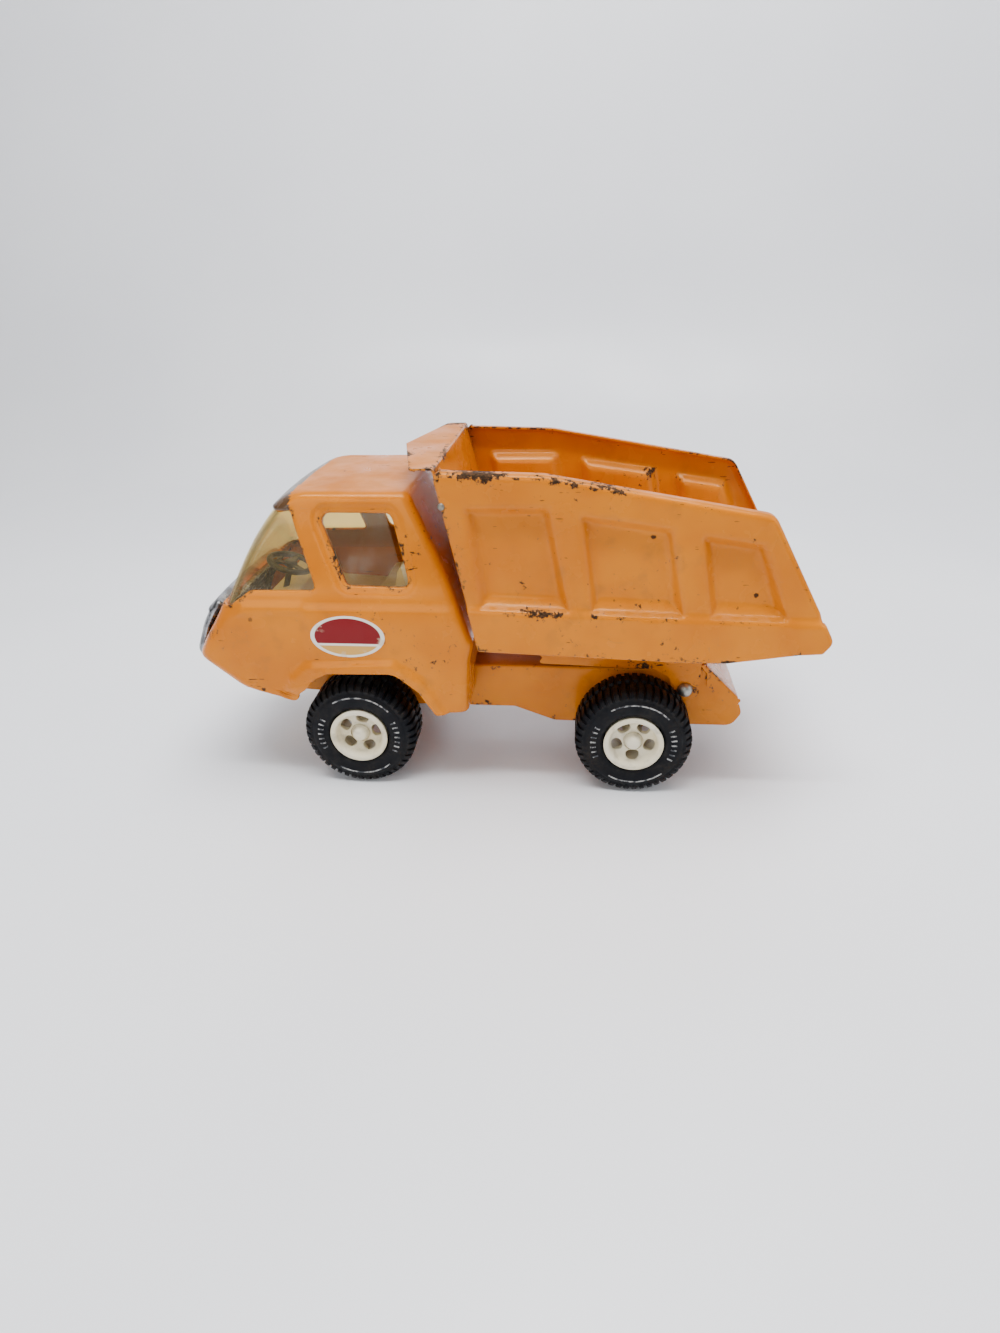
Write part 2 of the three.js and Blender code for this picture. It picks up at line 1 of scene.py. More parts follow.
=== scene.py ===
"""Looks for a pressed-steel toy dump truck: a Blender 4.5 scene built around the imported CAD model.

Every shape is made in millimetres from the middle of the front axle's ground point, with +X to the
truck's rear and -Y to its left side, and becomes metres in the CAD frame when its object is made.
"""
import math

import bmesh
import bpy
import numpy as np
from mathutils import Matrix, Vector
from mathutils.geometry import delaunay_2d_cdt


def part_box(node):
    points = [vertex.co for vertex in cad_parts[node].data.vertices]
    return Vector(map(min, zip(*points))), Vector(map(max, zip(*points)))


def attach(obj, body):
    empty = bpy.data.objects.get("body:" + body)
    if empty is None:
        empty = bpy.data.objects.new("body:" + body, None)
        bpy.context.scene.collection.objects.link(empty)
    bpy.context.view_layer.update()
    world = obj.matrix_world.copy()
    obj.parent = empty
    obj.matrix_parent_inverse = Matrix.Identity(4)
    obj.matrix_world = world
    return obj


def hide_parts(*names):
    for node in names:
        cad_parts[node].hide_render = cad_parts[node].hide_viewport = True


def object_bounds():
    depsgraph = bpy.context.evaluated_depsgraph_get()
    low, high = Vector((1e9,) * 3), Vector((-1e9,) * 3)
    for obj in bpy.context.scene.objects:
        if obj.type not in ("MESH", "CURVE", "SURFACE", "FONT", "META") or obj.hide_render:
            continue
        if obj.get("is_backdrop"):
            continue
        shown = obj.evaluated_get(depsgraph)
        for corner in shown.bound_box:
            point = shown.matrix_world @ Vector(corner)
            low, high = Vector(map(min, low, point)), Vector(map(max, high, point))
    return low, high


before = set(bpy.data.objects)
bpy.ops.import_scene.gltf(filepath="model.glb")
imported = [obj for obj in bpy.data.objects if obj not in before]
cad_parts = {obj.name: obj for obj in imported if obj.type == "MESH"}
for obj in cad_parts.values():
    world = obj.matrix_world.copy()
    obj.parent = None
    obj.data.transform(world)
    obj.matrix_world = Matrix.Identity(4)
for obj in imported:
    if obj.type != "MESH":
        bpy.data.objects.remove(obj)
CAD_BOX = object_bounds()

MM = 0.001
AXLE_LOW, AXLE_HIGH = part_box("front_axle")
REAR_LOW, REAR_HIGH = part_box("rear_axle")
TYRE_LOW, TYRE_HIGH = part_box("tyre_front_left")
PIN_LOW, PIN_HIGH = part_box("hinge_pin")
ORIGIN_X = (AXLE_LOW.x + AXLE_HIGH.x) / 2  # where the front axle is, in metres
WHEELBASE = ((REAR_LOW.x + REAR_HIGH.x) / 2 - ORIGIN_X) / MM
TYRE_R = (TYRE_HIGH.z - TYRE_LOW.z) / 2 / MM
TYRE_FACE = -TYRE_LOW.y / MM
TYRE_W = (TYRE_HIGH.y - TYRE_LOW.y) / MM
AXLE_R = (AXLE_HIGH.z - AXLE_LOW.z) / 2 / MM
AXLE_HALF = AXLE_HIGH.y / MM
HINGE_X = ((PIN_LOW.x + PIN_HIGH.x) / 2 - ORIGIN_X) / MM
HINGE_Z = (PIN_LOW.z + PIN_HIGH.z) / 2 / MM
SHEET = 0.9  # thickness of the pressed steel
RAIL_Y = 27.0  # outer face of the chassis sides
BRACKET_Y = 29.4  # outer face of the hinge bracket's sides
BED_HALF = 60.0  # outer face of the bed's ribs
SIDES = ((1, "left"), (-1, "right"))

# Camera ----------------------------------------

CAMERA_AT = (115.66, -412.09, 254.87)
CAMERA_PITCH = 26.71  # degrees below the horizon
CAMERA_YAW = -6.148  # degrees, turned towards the cab
CAMERA_ROLL = -1.474
FOCAL_SHARE = 797.3 / 1333  # focal length over the picture's long side
SENSOR = 36


def place_camera():
    pitch, yaw, roll = (math.radians(v) for v in (CAMERA_PITCH, CAMERA_YAW, CAMERA_ROLL))
    level = Vector((math.sin(yaw), math.cos(yaw), 0))
    side = Vector((math.cos(yaw), -math.sin(yaw), 0))
    top = Vector((0, 0, 1))
    forward = level * math.cos(pitch) - top * math.sin(pitch)
    above = level * math.sin(pitch) + top * math.cos(pitch)
    right = side * math.cos(roll) + above * math.sin(roll)
    up = above * math.cos(roll) - side * math.sin(roll)
    data = bpy.data.cameras.new("camera")
    data.sensor_width = SENSOR
    data.lens = SENSOR * FOCAL_SHARE
    camera = bpy.data.objects.new("camera", data)
    turn = Matrix((right, up, -forward)).transposed().to_4x4()
    place = Vector(CAMERA_AT) * MM + Vector((ORIGIN_X, 0, 0))
    camera.matrix_world = Matrix.Translation(place) @ turn
    bpy.context.scene.collection.objects.link(camera)
    bpy.context.scene.camera = camera


# Outlines ----------------------------------------


def rounded(points, arc=5):
    """The outline with each [a, b, radius] corner rounded."""
    out = []
    count = len(points)
    for i, (a, b, *rest) in enumerate(points):
        at = np.array([a, b], float)
        if not rest:
            out.append(at)
            continue
        before = np.array(points[i - 1][:2], float) - at
        after = np.array(points[(i + 1) % count][:2], float) - at
        into, leave = before / np.linalg.norm(before), after / np.linalg.norm(after)
        half = math.acos(float(np.clip(into @ leave, -1, 1))) / 2
        reach = rest[0] / math.tan(half)
        for t in np.linspace(0, 1, arc + 1):
            out.append(at + into * reach * (1 - t) ** 2 + leave * reach * t**2)
    return np.array(out)


def densify(loop, spacing, closed=True):
    """The outline with points added so that no edge is longer than spacing."""
    out = []
    ends = range(len(loop)) if closed else range(len(loop) - 1)
    for i in ends:
        p, q = loop[i], loop[(i + 1) % len(loop)]
        pieces = max(1, math.ceil(np.linalg.norm(q - p) / spacing))
        out += [p + (q - p) * k / pieces for k in range(pieces)]
    if not closed:
        out.append(loop[-1])
    out = np.array(out)
    gap = np.linalg.norm(out - np.roll(out, 1, 0), axis=1)
    return out[gap > 1e-3]


def smooth_loop(points, spacing):
    """The outline with its corners rounded and no edge longer than spacing."""
    return densify(rounded(points), spacing)


def around(count):
    """That many angles, evenly spaced round a circle."""
    return np.linspace(0, 2 * math.pi, count, endpoint=False)


def oval(x, z, half_x, half_z, count):
    turns = around(count)
    return np.stack([x + half_x * np.cos(turns), z + half_z * np.sin(turns)], 1)


def unit(vectors):
    return vectors / np.maximum(np.linalg.norm(vectors, axis=1)[:, None], 1e-9)


def anticlockwise(loop):
    a, b = loop.T
    return np.sum(a * np.roll(b, -1) - np.roll(a, -1) * b) > 0


def turned_outward(loop, hole=False):
    """For each point, the unit direction that leaves the material."""
    along = unit(unit(np.roll(loop, -1, 0) - loop) + unit(loop - np.roll(loop, 1, 0)))
    out = np.stack([along[:, 1], -along[:, 0]], 1)
    return out if anticlockwise(loop) != hole else -out


def signed_distance(points, loop):
    """Distance from each point to the outline, positive inside it."""
    p, q = loop, np.roll(loop, -1, 0)
    edge = q - p
    length2 = np.maximum((edge**2).sum(1), 1e-12)
    result = []
    for chunk in np.array_split(points, max(1, len(points) // 2000)):
        rel = chunk[:, None, :] - p[None]
        t = np.clip((rel * edge[None]).sum(2) / length2, 0, 1)
        near = np.sqrt(((rel - t[..., None] * edge[None]) ** 2).sum(2)).min(1)
        below = p[None, :, 1] <= chunk[:, None, 1]
        crosses = below != (q[None, :, 1] <= chunk[:, None, 1])
        rise = np.where(np.abs(edge[:, 1]) < 1e-12, 1e-12, edge[:, 1])
        at = p[None, :, 0] + (chunk[:, None, 1] - p[None, :, 1]) * edge[None, :, 0] / rise
        inside = (crosses & (chunk[:, None, 0] < at)).sum(1) % 2 == 1
        result.append(np.where(inside, near, -near))
    return np.concatenate(result)


def xyz(x, y, z):
    """Points from numbers and arrays that fit together."""
    return np.stack(np.broadcast_arrays(x, y, z), -1)


def smoothstep(low, high, value):
    t = np.clip((value - low) / (high - low), 0, 1)
    return t * t * (3 - 2 * t)


def ramp(value, top, soft):
    """value clamped to 0..top, with its two corners rounded over soft."""
    return sum(np.clip(value + soft * k / 2, 0, top) for k in (-2, -1, 0, 1, 2)) / 5


# Meshes ----------------------------------------


class Shell:
    """Vertices in millimetres, and faces with a material number each."""

    def __init__(self):
        self.points = []
        self.faces = []
        self.looks = []

    def add(self, points, faces, look=0):
        start = len(self.points)
        self.points += [tuple(p) for p in points]
        self.faces += [tuple(start + i for i in face) for face in faces]
        self.looks += [look] * len(faces)
        return start

    def grid(self, rows, closed=False, flip=False, look=0):
        """A surface through rows of equal length; closed joins each row's ends."""
        rows = [np.asarray(row, float) for row in rows]
        count = len(rows[0])
        faces = []
        for r in range(len(rows) - 1):
            for i in range(count if closed else count - 1):
                j = (i + 1) % count
                a, b = r * count + i, r * count + j
                quad = (a, b, b + count, a + count)
                faces.append(quad[::-1] if flip else quad)
        self.add(np.concatenate(rows), faces, look)

    def mirror(self):
        """Adds the copy of everything on the other side of the truck."""
        count = len(self.points)
        self.points += [(x, -y, z) for x, y, z in self.points]
        self.faces += [tuple(count + i for i in reversed(face)) for face in self.faces]
        self.looks += self.looks
        return self

    def on_side(self, side):
        """The shell for the left, side 1, or its mirror image for the right, side -1."""
        if side > 0:
            return self
        other = Shell()
        other.add([(x, -y, z) for x, y, z in self.points], [f[::-1] for f in self.faces])
        other.looks = self.looks
        return other

    def placed(self, place):
        """The shell with every point moved by the 4x4 matrix."""
        self.points = [tuple(place @ Vector(p)) for p in self.points]
        return self


ENCLOSED = 1  # the kind of triangulation: the triangles that the outlines enclose
PROBE = 0.02  # distance over which a surface's slope is measured
FLANGE_STEP = 6  # longest strip of a flange


def panel(shell, surface, outer, holes=(), spacing=2.0, flip=False, features=(), look=0, steps=4):
    """A pressed sheet: surface(a, b) over the outline outer, less holes, with turned edges.

    outer and each hole are (loop, lip), where lip(a, b) gives the radius and flange of the turned
    edge there, or None where the edge is plain. features are lines that the mesh follows.
    """
    loops = []
    for number, (loop, lip) in enumerate([outer, *holes]):
        away = turned_outward(loop, hole=number > 0)
        turns = [lip(a, b) if lip else None for a, b in loop]
        radius = np.array([t[0] if t else 0 for t in turns])
        flange = np.array([t[1] if t else 0 for t in turns])
        kept = loop - away * radius[:, None]
        loops.append((kept, away, radius, flange, [t is not None for t in turns]))

    low, high = loops[0][0].min(0), loops[0][0].max(0)
    across = np.arange(low[0] + spacing / 2, high[0], spacing)
    up = np.arange(low[1] + spacing / 2, high[1], spacing * 0.87)
    inner = [(a + spacing / 2 * (k % 2), b) for k, b in enumerate(up) for a in across]
    inner = np.array(inner)
    clear = signed_distance(inner, loops[0][0]) > 0.55 * spacing
    for kept, *_ in loops[1:]:
        clear &= signed_distance(inner, kept) < -0.55 * spacing
    inner = inner[clear]
    lines = []
    for line in features:
        keep = signed_distance(line, loops[0][0]) > 0.45 * spacing
        for kept, *_ in loops[1:]:
            keep &= signed_distance(line, kept) < -0.45 * spacing
        line = line[keep]
        if len(line) and len(inner):
            gap = np.sqrt(((inner[:, None] - line[None]) ** 2).sum(2)).min(1)
            inner = inner[gap > 0.5 * spacing]
        lines.append(line)

    points, edges = [], []
    for kept, *_ in loops:
        start = len(points)
        points += list(kept)
        edges += [(start + i, start + (i + 1) % len(kept)) for i in range(len(kept))]
    points += [p for line in lines for p in line]
    points += list(inner)
    flat, _, faces, origin, _, _ = delaunay_2d_cdt(
        [Vector(p) for p in points], edges, [], ENCLOSED, 1e-5
    )
    flat = np.array([tuple(p) for p in flat])
    corners = np.array([list(f) for f in faces])
    solid = np.ones(len(corners), bool)
    for kept, *_ in loops[1:]:
        solid &= signed_distance(flat[corners].mean(1), kept) < 0
    faces = [tuple(f[::-1]) if flip else tuple(f) for f in corners[solid]]
    start = shell.add(surface(flat[:, 0], flat[:, 1]), faces, look)
    place = {}
    for index, sources in enumerate(origin):
        for source in sources:
            place[source] = start + index

    offset = 0
    for number, (kept, away, radius, flange, turned) in enumerate(loops):
        turn_edge(shell, surface, kept, away, radius, flange, turned, flip, number > 0,
                  [place[offset + i] for i in range(len(kept))], look, steps)
        offset += len(kept)
    return shell


def turn_edge(shell, surface, loop, away, radius, flange, turned, flip, hole, base, look, steps):
    """The rounded, turned-in edge along one outline of a panel."""
    if not any(turned):
        return
    a, b = loop.T
    backwards = (anticlockwise(loop) != hole) != flip
    da = (surface(a + PROBE, b) - surface(a - PROBE, b)) / (2 * PROBE)
    db = (surface(a, b + PROBE) - surface(a, b - PROBE)) / (2 * PROBE)
    flow = np.roll(loop, -1, 0) - np.roll(loop, 1, 0)
    along = unit(da * flow[:, :1] + db * flow[:, 1:])
    out = da * away[:, :1] + db * away[:, 1:]
    out = unit(out - along * (out * along).sum(1)[:, None])
    normal = unit(np.cross(da, db)) * (-1 if flip else 1)
    normal = unit(normal - out * (normal * out).sum(1)[:, None])
    at = surface(a, b)
    size = radius[:, None]
    rings = []
    for k in range(1, steps + 1):
        turn = math.pi / 2 * k / steps
        rings.append(at + out * size * math.sin(turn) - normal * size * (1 - math.cos(turn)))
    longest = flange.max()
    if longest > 0:
        cuts = math.ceil(longest / FLANGE_STEP)
        last = rings[-1]
        for k in range(1, cuts + 1):
            rings.append(last - normal * flange[:, None] * k / cuts)
    starts = [shell.add(ring, []) for ring in rings]
    count = len(loop)
    index = [base] + [[s + i for i in range(count)] for s in starts]
    for row in range(len(rings)):
        for i in range(count):
            j = (i + 1) % count
            if not (turned[i] and turned[j]):
                continue
            quad = [index[row][i], index[row][j], index[row + 1][j], index[row + 1][i]]
            if backwards:
                quad.reverse()
            shell.faces.append(tuple(quad))
            shell.looks.append(look)


def lathe(shell, profile, centre, sides=48, look=0):
    """A profile of (radius, y) turned about the Y axis through centre, an (x, z) pair."""
    circles = [(oval(*centre, radius, radius, sides).T, y) for radius, y in profile]
    shell.grid([xyz(x, y, z) for (x, z), y in circles], closed=True, look=look, flip=True)


def block(shell, low, high, place):
    """A box, placed by the 4x4 matrix."""
    corners = [(x, y, z) for x in (low[0], high[0]) for y in (low[1], high[1])
               for z in (low[2], high[2])]
    faces = [(0, 1, 3, 2), (4, 6, 7, 5), (0, 4, 5, 1), (2, 3, 7, 6), (0, 2, 6, 4), (1, 5, 7, 3)]
    shell.add([place @ Vector(corner) for corner in corners], faces)


WORN_BEND = 0.28  # bend, in turns per mm, from which an edge counts as worn
WEAR_REACH = 1.1  # how far the wear fades out from such an edge
WEAR_ROUNDS = 14  # steps along the mesh over which distances spread


def read(items, name, width, kind=float):
    """One row of numbers for each of the mesh's items."""
    values = np.empty(len(items) * width, kind)
    items.foreach_get(name, values)
    return values.reshape(-1, width)


def edge_wear(mesh):
    """Stores how near each vertex is to a worn, outward-turned edge, as the attribute "edge"."""
    place = read(mesh.vertices, "co", 3) / MM
    normal = read(mesh.vertices, "normal", 3)
    i, j = read(mesh.edges, "vertices", 2, int).T
    step = place[j] - place[i]
    length = np.maximum(np.linalg.norm(step, axis=1), 1e-6)
    bend = ((normal[j] - normal[i]) * step).sum(1) / length**2
    sharp = np.zeros(len(place))
    np.maximum.at(sharp, i, bend)
    np.maximum.at(sharp, j, bend)
    away = np.where(sharp > WORN_BEND, 0.0, 99.0)
    for _ in range(WEAR_ROUNDS):
        np.minimum.at(away, i, away[j] + length)
        np.minimum.at(away, j, away[i] + length)
    attribute = mesh.attributes.new("edge", "FLOAT", "POINT")
    attribute.data.foreach_set("value", np.exp(-away / WEAR_REACH).astype(np.float32))


def piece(name, shell, materials, body, nodes, thick=0, bevel=0, weld=0.02, sharp=50):
    """Makes the object, applies its modifiers, and hands it to the frame."""
    mesh = bpy.data.meshes.new(name)
    scaled = [(ORIGIN_X + x * MM, y * MM, z * MM) for x, y, z in shell.points]
    mesh.from_pydata(scaled, [], shell.faces)
    for material in materials:
        mesh.materials.append(material)
    mesh.polygons.foreach_set("material_index", shell.looks)
    work = bmesh.new()
    work.from_mesh(mesh)
    bmesh.ops.remove_doubles(work, verts=work.verts, dist=weld * MM)
    loose = [v for v in work.verts if not v.link_faces]
    bmesh.ops.delete(work, geom=loose, context="VERTS")
    work.to_mesh(mesh)
    work.free()
    mesh.update()
    thing = bpy.data.objects.new(name, mesh)
    bpy.context.scene.collection.objects.link(thing)
    if thick:
        solid = thing.modifiers.new("sheet", "SOLIDIFY")
        solid.thickness = thick * MM
        solid.offset = -1
    if bevel:
        edge = thing.modifiers.new("edges", "BEVEL")
        edge.width = bevel * MM
        edge.segments = 2
        edge.limit_method = "ANGLE"
        edge.angle_limit = math.radians(40)
    if thick or bevel:
        graph = bpy.context.evaluated_depsgraph_get()
        final = bpy.data.meshes.new_from_object(thing.evaluated_get(graph))
        thing.modifiers.clear()
        thing.data = final
        bpy.data.meshes.remove(mesh)
        mesh = final
        mesh.name = name
    mesh.shade_smooth()
    mesh.set_sharp_from_angle(angle=math.radians(sharp))
    edge_wear(mesh)
    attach(thing, body)
    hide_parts(*nodes)


# Materials ----------------------------------------


class Nodes:
    """A short way to write a node tree."""

    def __init__(self, name):
        self.material = bpy.data.materials.new(name)
        self.material.use_nodes = True
        self.tree = self.material.node_tree
        self.tree.nodes.clear()
        self.out = self.add("OutputMaterial")
        self.shader = self.add("BsdfPrincipled")
        self.link(self.shader.outputs["BSDF"], self.out.inputs["Surface"])
        place = self.add("TexCoord")
        self.where = place.outputs["Object"]
        self.facing = place.outputs["Normal"]

    def add(self, kind, **values):
        node = self.tree.nodes.new("ShaderNode" + kind)
        for name, value in values.items():
            self.put(node.inputs[name.replace("_", " ")], value)
        return node

    def link(self, source, target):
        self.tree.links.new(source, target)

    def put(self, socket, value):
        """Gives the socket a number, a colour, a vector or another node's output."""
        if isinstance(value, bpy.types.NodeSocket):
            self.link(value, socket)
        elif isinstance(value, tuple) and socket.type == "RGBA":
            socket.default_value = (*value, 1)
        else:
            socket.default_value = value

    def set(self, **values):
        for name, value in values.items():
            self.put(self.shader.inputs[name.replace("_", " ")], value)

    def texture(self, kind, start, stretch, **values):
        mapping = self.add("Mapping", Vector=self.where, Location=start, Scale=stretch)
        return self.add(kind, Vector=mapping.outputs["Vector"], **values).outputs

    def noise(self, scale, detail=3.0, stretch=(1, 1, 1), seed=0.0, roughness=0.5):
        start = (seed, seed * 0.7, seed * 1.3)
        return self.texture("TexNoise", start, stretch, Scale=scale, Detail=detail,
                            Roughness=roughness)["Fac"]

    def spots(self, scale, seed=0.0):
        found = self.texture("TexVoronoi", (seed, seed, seed), (1, 1, 1), Scale=scale)
        return found["Distance"], found["Color"]

    def edge(self):
        attribute = self.add("Attribute")
        attribute.attribute_name = "edge"
        return attribute.outputs["Fac"]

    def math(self, kind, a, b=0.0):
        node = self.add("Math")
        node.operation = kind
        for socket, value in zip(node.inputs, (a, b)):
            self.put(socket, value)
        return node.outputs[0]

    def times(self, a, b):
        return self.math("MULTIPLY", a, b)

    def plus(self, a, b):
        return self.math("ADD", a, b)

    def minus(self, a, b):
        return self.math("SUBTRACT", a, b)

    def most(self, a, b):
        return self.math("MAXIMUM", a, b)

    def band(self, value, low, high, to_low=0.0, to_high=1.0):
        """A smooth step from to_low to to_high as the value goes from low to high."""
        node = self.add("MapRange")
        node.interpolation_type = "SMOOTHSTEP"
        for name, number in (("Value", value), ("From Min", low), ("From Max", high),
                             ("To Min", to_low), ("To Max", to_high)):
            self.put(node.inputs[name], number)
        return node.outputs["Result"]

    def mix(self, share, a, b):
        node = self.add("Mix")
        node.data_type = "RGBA"
        for index, value in ((0, share), (6, a), (7, b)):
            self.put(node.inputs[index], value)
        return node.outputs[2]

    def blend(self, share, first, second):
        node = self.add("MixShader")
        for socket, source in zip(node.inputs, (share, first, second)):
            self.link(source, socket)
        return node.outputs[0]

    def axis(self, name, vector=None):
        return self.add("SeparateXYZ", Vector=vector or self.where).outputs[name]

    def bump(self, height, strength, distance):
        node = self.add("Bump", Height=height, Strength=strength, Distance=distance)
        self.set(Normal=node.outputs["Normal"])


def enamel():
    """Orange-yellow enamel, worn to dark steel along its edges."""
    n = Nodes("enamel")
    blotch = n.noise(95, 4, seed=1.7)
    fine = n.noise(900, 3, seed=5.3)
    colour = n.mix(n.band(n.noise(28, 2, seed=3.1), 0.35, 0.65), (0.545, 0.143, 0.0005),
                   (0.62, 0.178, 0.001))
    grime = n.times(n.band(blotch, 0.52, 0.72), n.band(n.noise(15, 2, seed=9), 0.4, 0.65))
    colour = n.mix(n.times(grime, 0.40), colour, (0.34, 0.12, 0.018))
    # Dust that has settled on whatever faces up.
    settled = n.times(n.band(n.axis("Z", n.facing), 0.55, 0.95),
                      n.band(n.noise(38, 5, seed=4.4, roughness=0.6), 0.35, 0.65, 0.55, 1.0))
    colour = n.mix(n.times(settled, 0.55), colour, (0.33, 0.105, 0.004))
    # Hairline scratches in three directions.
    lines = []
    for seed, stretch in ((2.3, (1, 1, 14)), (4.9, (12, 1, 2)), (7.7, (6, 1, 9))):
        off_centre = n.math("ABSOLUTE", n.minus(n.noise(42, 1, stretch, seed), 0.5))
        rare = n.band(n.noise(24, 1, seed=seed + 1), 0.60, 0.66)
        lines.append(n.times(n.band(off_centre, 0.0, 0.006, 1, 0), rare))
    scratch = n.most(n.most(lines[0], lines[1]), lines[2])
    colour = n.mix(n.times(scratch, 0.45), colour, (0.33, 0.15, 0.05))
    # Pinhead chips anywhere, and larger ones where the edge attribute is high.
    distance, cell = n.spots(75, 0.4)
    dots = n.times(n.band(n.plus(distance, n.times(fine, 0.12)), 0.13, 0.16, 1, 0),
                   n.band(cell, 0.72, 0.74))
    wander = n.plus(n.times(n.noise(330, 5, seed=6.1, roughness=0.7), 0.55),
                    n.times(n.noise(34, 3, seed=8.8), 0.45))
    worn = n.plus(wander, n.times(n.edge(), 0.085))
    # The highest sheet takes the most knocks.
    worn = n.plus(worn, n.band(n.axis("Z"), 0.164, 0.172, 0.0, 0.032))
    nick = n.plus(n.noise(120, 2, (1, 5, 7), 3.3),
                  n.times(n.band(n.noise(20, 1, seed=12), 0.5, 0.62), 0.04))
    chips = n.most(n.band(worn, 0.640, 0.650), n.times(dots, 0.9))
    chips = n.most(chips, n.band(nick, 0.745, 0.755))
    rim = n.most(n.band(worn, 0.618, 0.644), chips)
    colour = n.mix(rim, colour, (0.30, 0.115, 0.03))
    metal = n.mix(n.band(fine, 0.4, 0.65), (0.022, 0.013, 0.009), (0.075, 0.035, 0.018))
    gloss = n.plus(n.band(n.noise(60, 4, seed=2.2), 0.3, 0.75, 0.17, 0.32), n.times(settled, 0.16))
    dull = n.most(chips, settled)
    n.set(Base_Color=n.mix(chips, colour, metal), Roughness=n.most(gloss, n.times(chips, 0.62)),
          Specular_IOR_Level=n.band(dull, 0.0, 1.0, 0.42, 0.12),
          Coat_Weight=n.band(dull, 0.0, 1.0, 0.16, 0.0), Coat_Roughness=0.07, IOR=1.5,
          Specular_Tint=(1.0, 0.62, 0.22))
    height = n.minus(n.times(n.noise(420, 2, seed=1), 0.10), n.plus(chips, n.times(scratch, 0.25)))
    n.bump(height, 0.35, 0.00012)
    return n.material


def plated(name, dark, light, roughness):
    """Aged plating: bright metal clouded by a dull film, with pits."""
    n = Nodes(name)
    cloud = n.band(n.noise(130, 5, seed=4), 0.35, 0.68)
    pits = n.band(n.spots(420, 1.1)[0], 0.10, 0.2, 1, 0)
    colour = n.mix(cloud, light, dark)
    colour = n.mix(n.times(pits, 0.5), colour, (0.06, 0.055, 0.05))
    n.set(Base_Color=colour)
    n.set(Roughness=n.band(n.noise(260, 4, seed=2), 0.3, 0.7, roughness, roughness + 0.25))
    n.set(Metallic=1.0)
    n.bump(n.noise(600, 3), 0.12, 0.00008)
    return n.material


def rubber():
    """Blue-black rubber with dust in the tread and on the shoulders."""
    n = Nodes("rubber")
    dust = n.times(n.band(n.noise(70, 5, seed=2), 0.42, 0.7),
                   n.band(n.noise(600, 2, seed=3), 0.3, 0.7))
    colour = n.mix(n.times(dust, 0.55), (0.0022, 0.0028, 0.0048), (0.022, 0.017, 0.012))
    wear = n.times(n.edge(), n.band(n.noise(220, 3, seed=7), 0.45, 0.7))
    colour = n.mix(n.times(wear, 0.35), colour, (0.030, 0.026, 0.022))
    n.set(Base_Color=colour)
    n.set(Roughness=n.band(n.noise(180, 4, seed=6), 0.3, 0.7, 0.40, 0.62))
    n.set(Specular_IOR_Level=0.14)
    n.bump(n.noise(1400, 3), 0.25, 0.00006)
    return n.material


def worn_mark():
    """What is left of the pale paint on the tyre's raised marks."""
    n = Nodes("worn_mark")
    gone = n.band(n.noise(420, 4, seed=3), 0.42, 0.58)
    n.set(Base_Color=n.mix(gone, (0.36, 0.36, 0.35), (0.03, 0.033, 0.04)))
    n.set(Roughness=0.6)
    n.bump(n.noise(1200, 2), 0.2, 0.00005)
    return n.material


def plastic(name, base, dirt, roughness=0.42, amount=0.5):
    """Moulded plastic, yellowed in places and grubby in patches."""
    n = Nodes(name)
    age = n.band(n.noise(45, 3, seed=5), 0.35, 0.7)
    shade = tuple(c * f for c, f in zip(base, (0.97, 0.92, 0.78)))
    colour = n.mix(age, base, shade)
    grub = n.times(n.band(n.noise(150, 5, seed=8), 0.5, 0.72), amount)
    colour = n.mix(grub, colour, dirt)
    specks = n.band(n.spots(520, 2.0)[0], 0.06, 0.10, 1, 0)
    colour = n.mix(n.times(specks, 0.35), colour, dirt)
    n.set(Base_Color=colour)
    n.set(Roughness=n.band(n.noise(210, 3), 0.3, 0.7, roughness - 0.08, roughness + 0.12))
    n.bump(n.noise(700, 2), 0.10, 0.00006)
    return n.material


def tinted_glass():
    """Amber plastic that lets a tinted view through, under a thin haze and a gloss."""
    n = Nodes("amber_glass")
    haze = n.band(n.noise(60, 4, seed=3), 0.42, 0.75)
    streak = n.band(n.noise(110, 3, (1, 1, 5), 6), 0.5, 0.72)
    n.set(Base_Color=n.mix(haze, (0.40, 0.34, 0.24), (0.52, 0.49, 0.42)))
    n.set(Roughness=n.plus(0.05, n.times(n.times(haze, streak), 0.22)))
    clear = n.add("BsdfTransparent", Color=(0.97, 0.88, 0.63))
    mirror = n.add("BsdfAnisotropic", Color=(0.9, 0.88, 0.8), Roughness=0.07)
    rim = n.add("Fresnel", IOR=1.4)
    hazed = n.blend(n.band(haze, 0.0, 1.0, 0.07, 0.15), clear.outputs["BSDF"],
                    n.shader.outputs["BSDF"])
    coated = n.blend(n.times(rim.outputs["Fac"], 0.6), hazed, mirror.outputs["BSDF"])
    n.link(coated, n.out.inputs["Surface"])
    n.bump(n.noise(50, 2), 0.05, 0.0002)
    return n.material


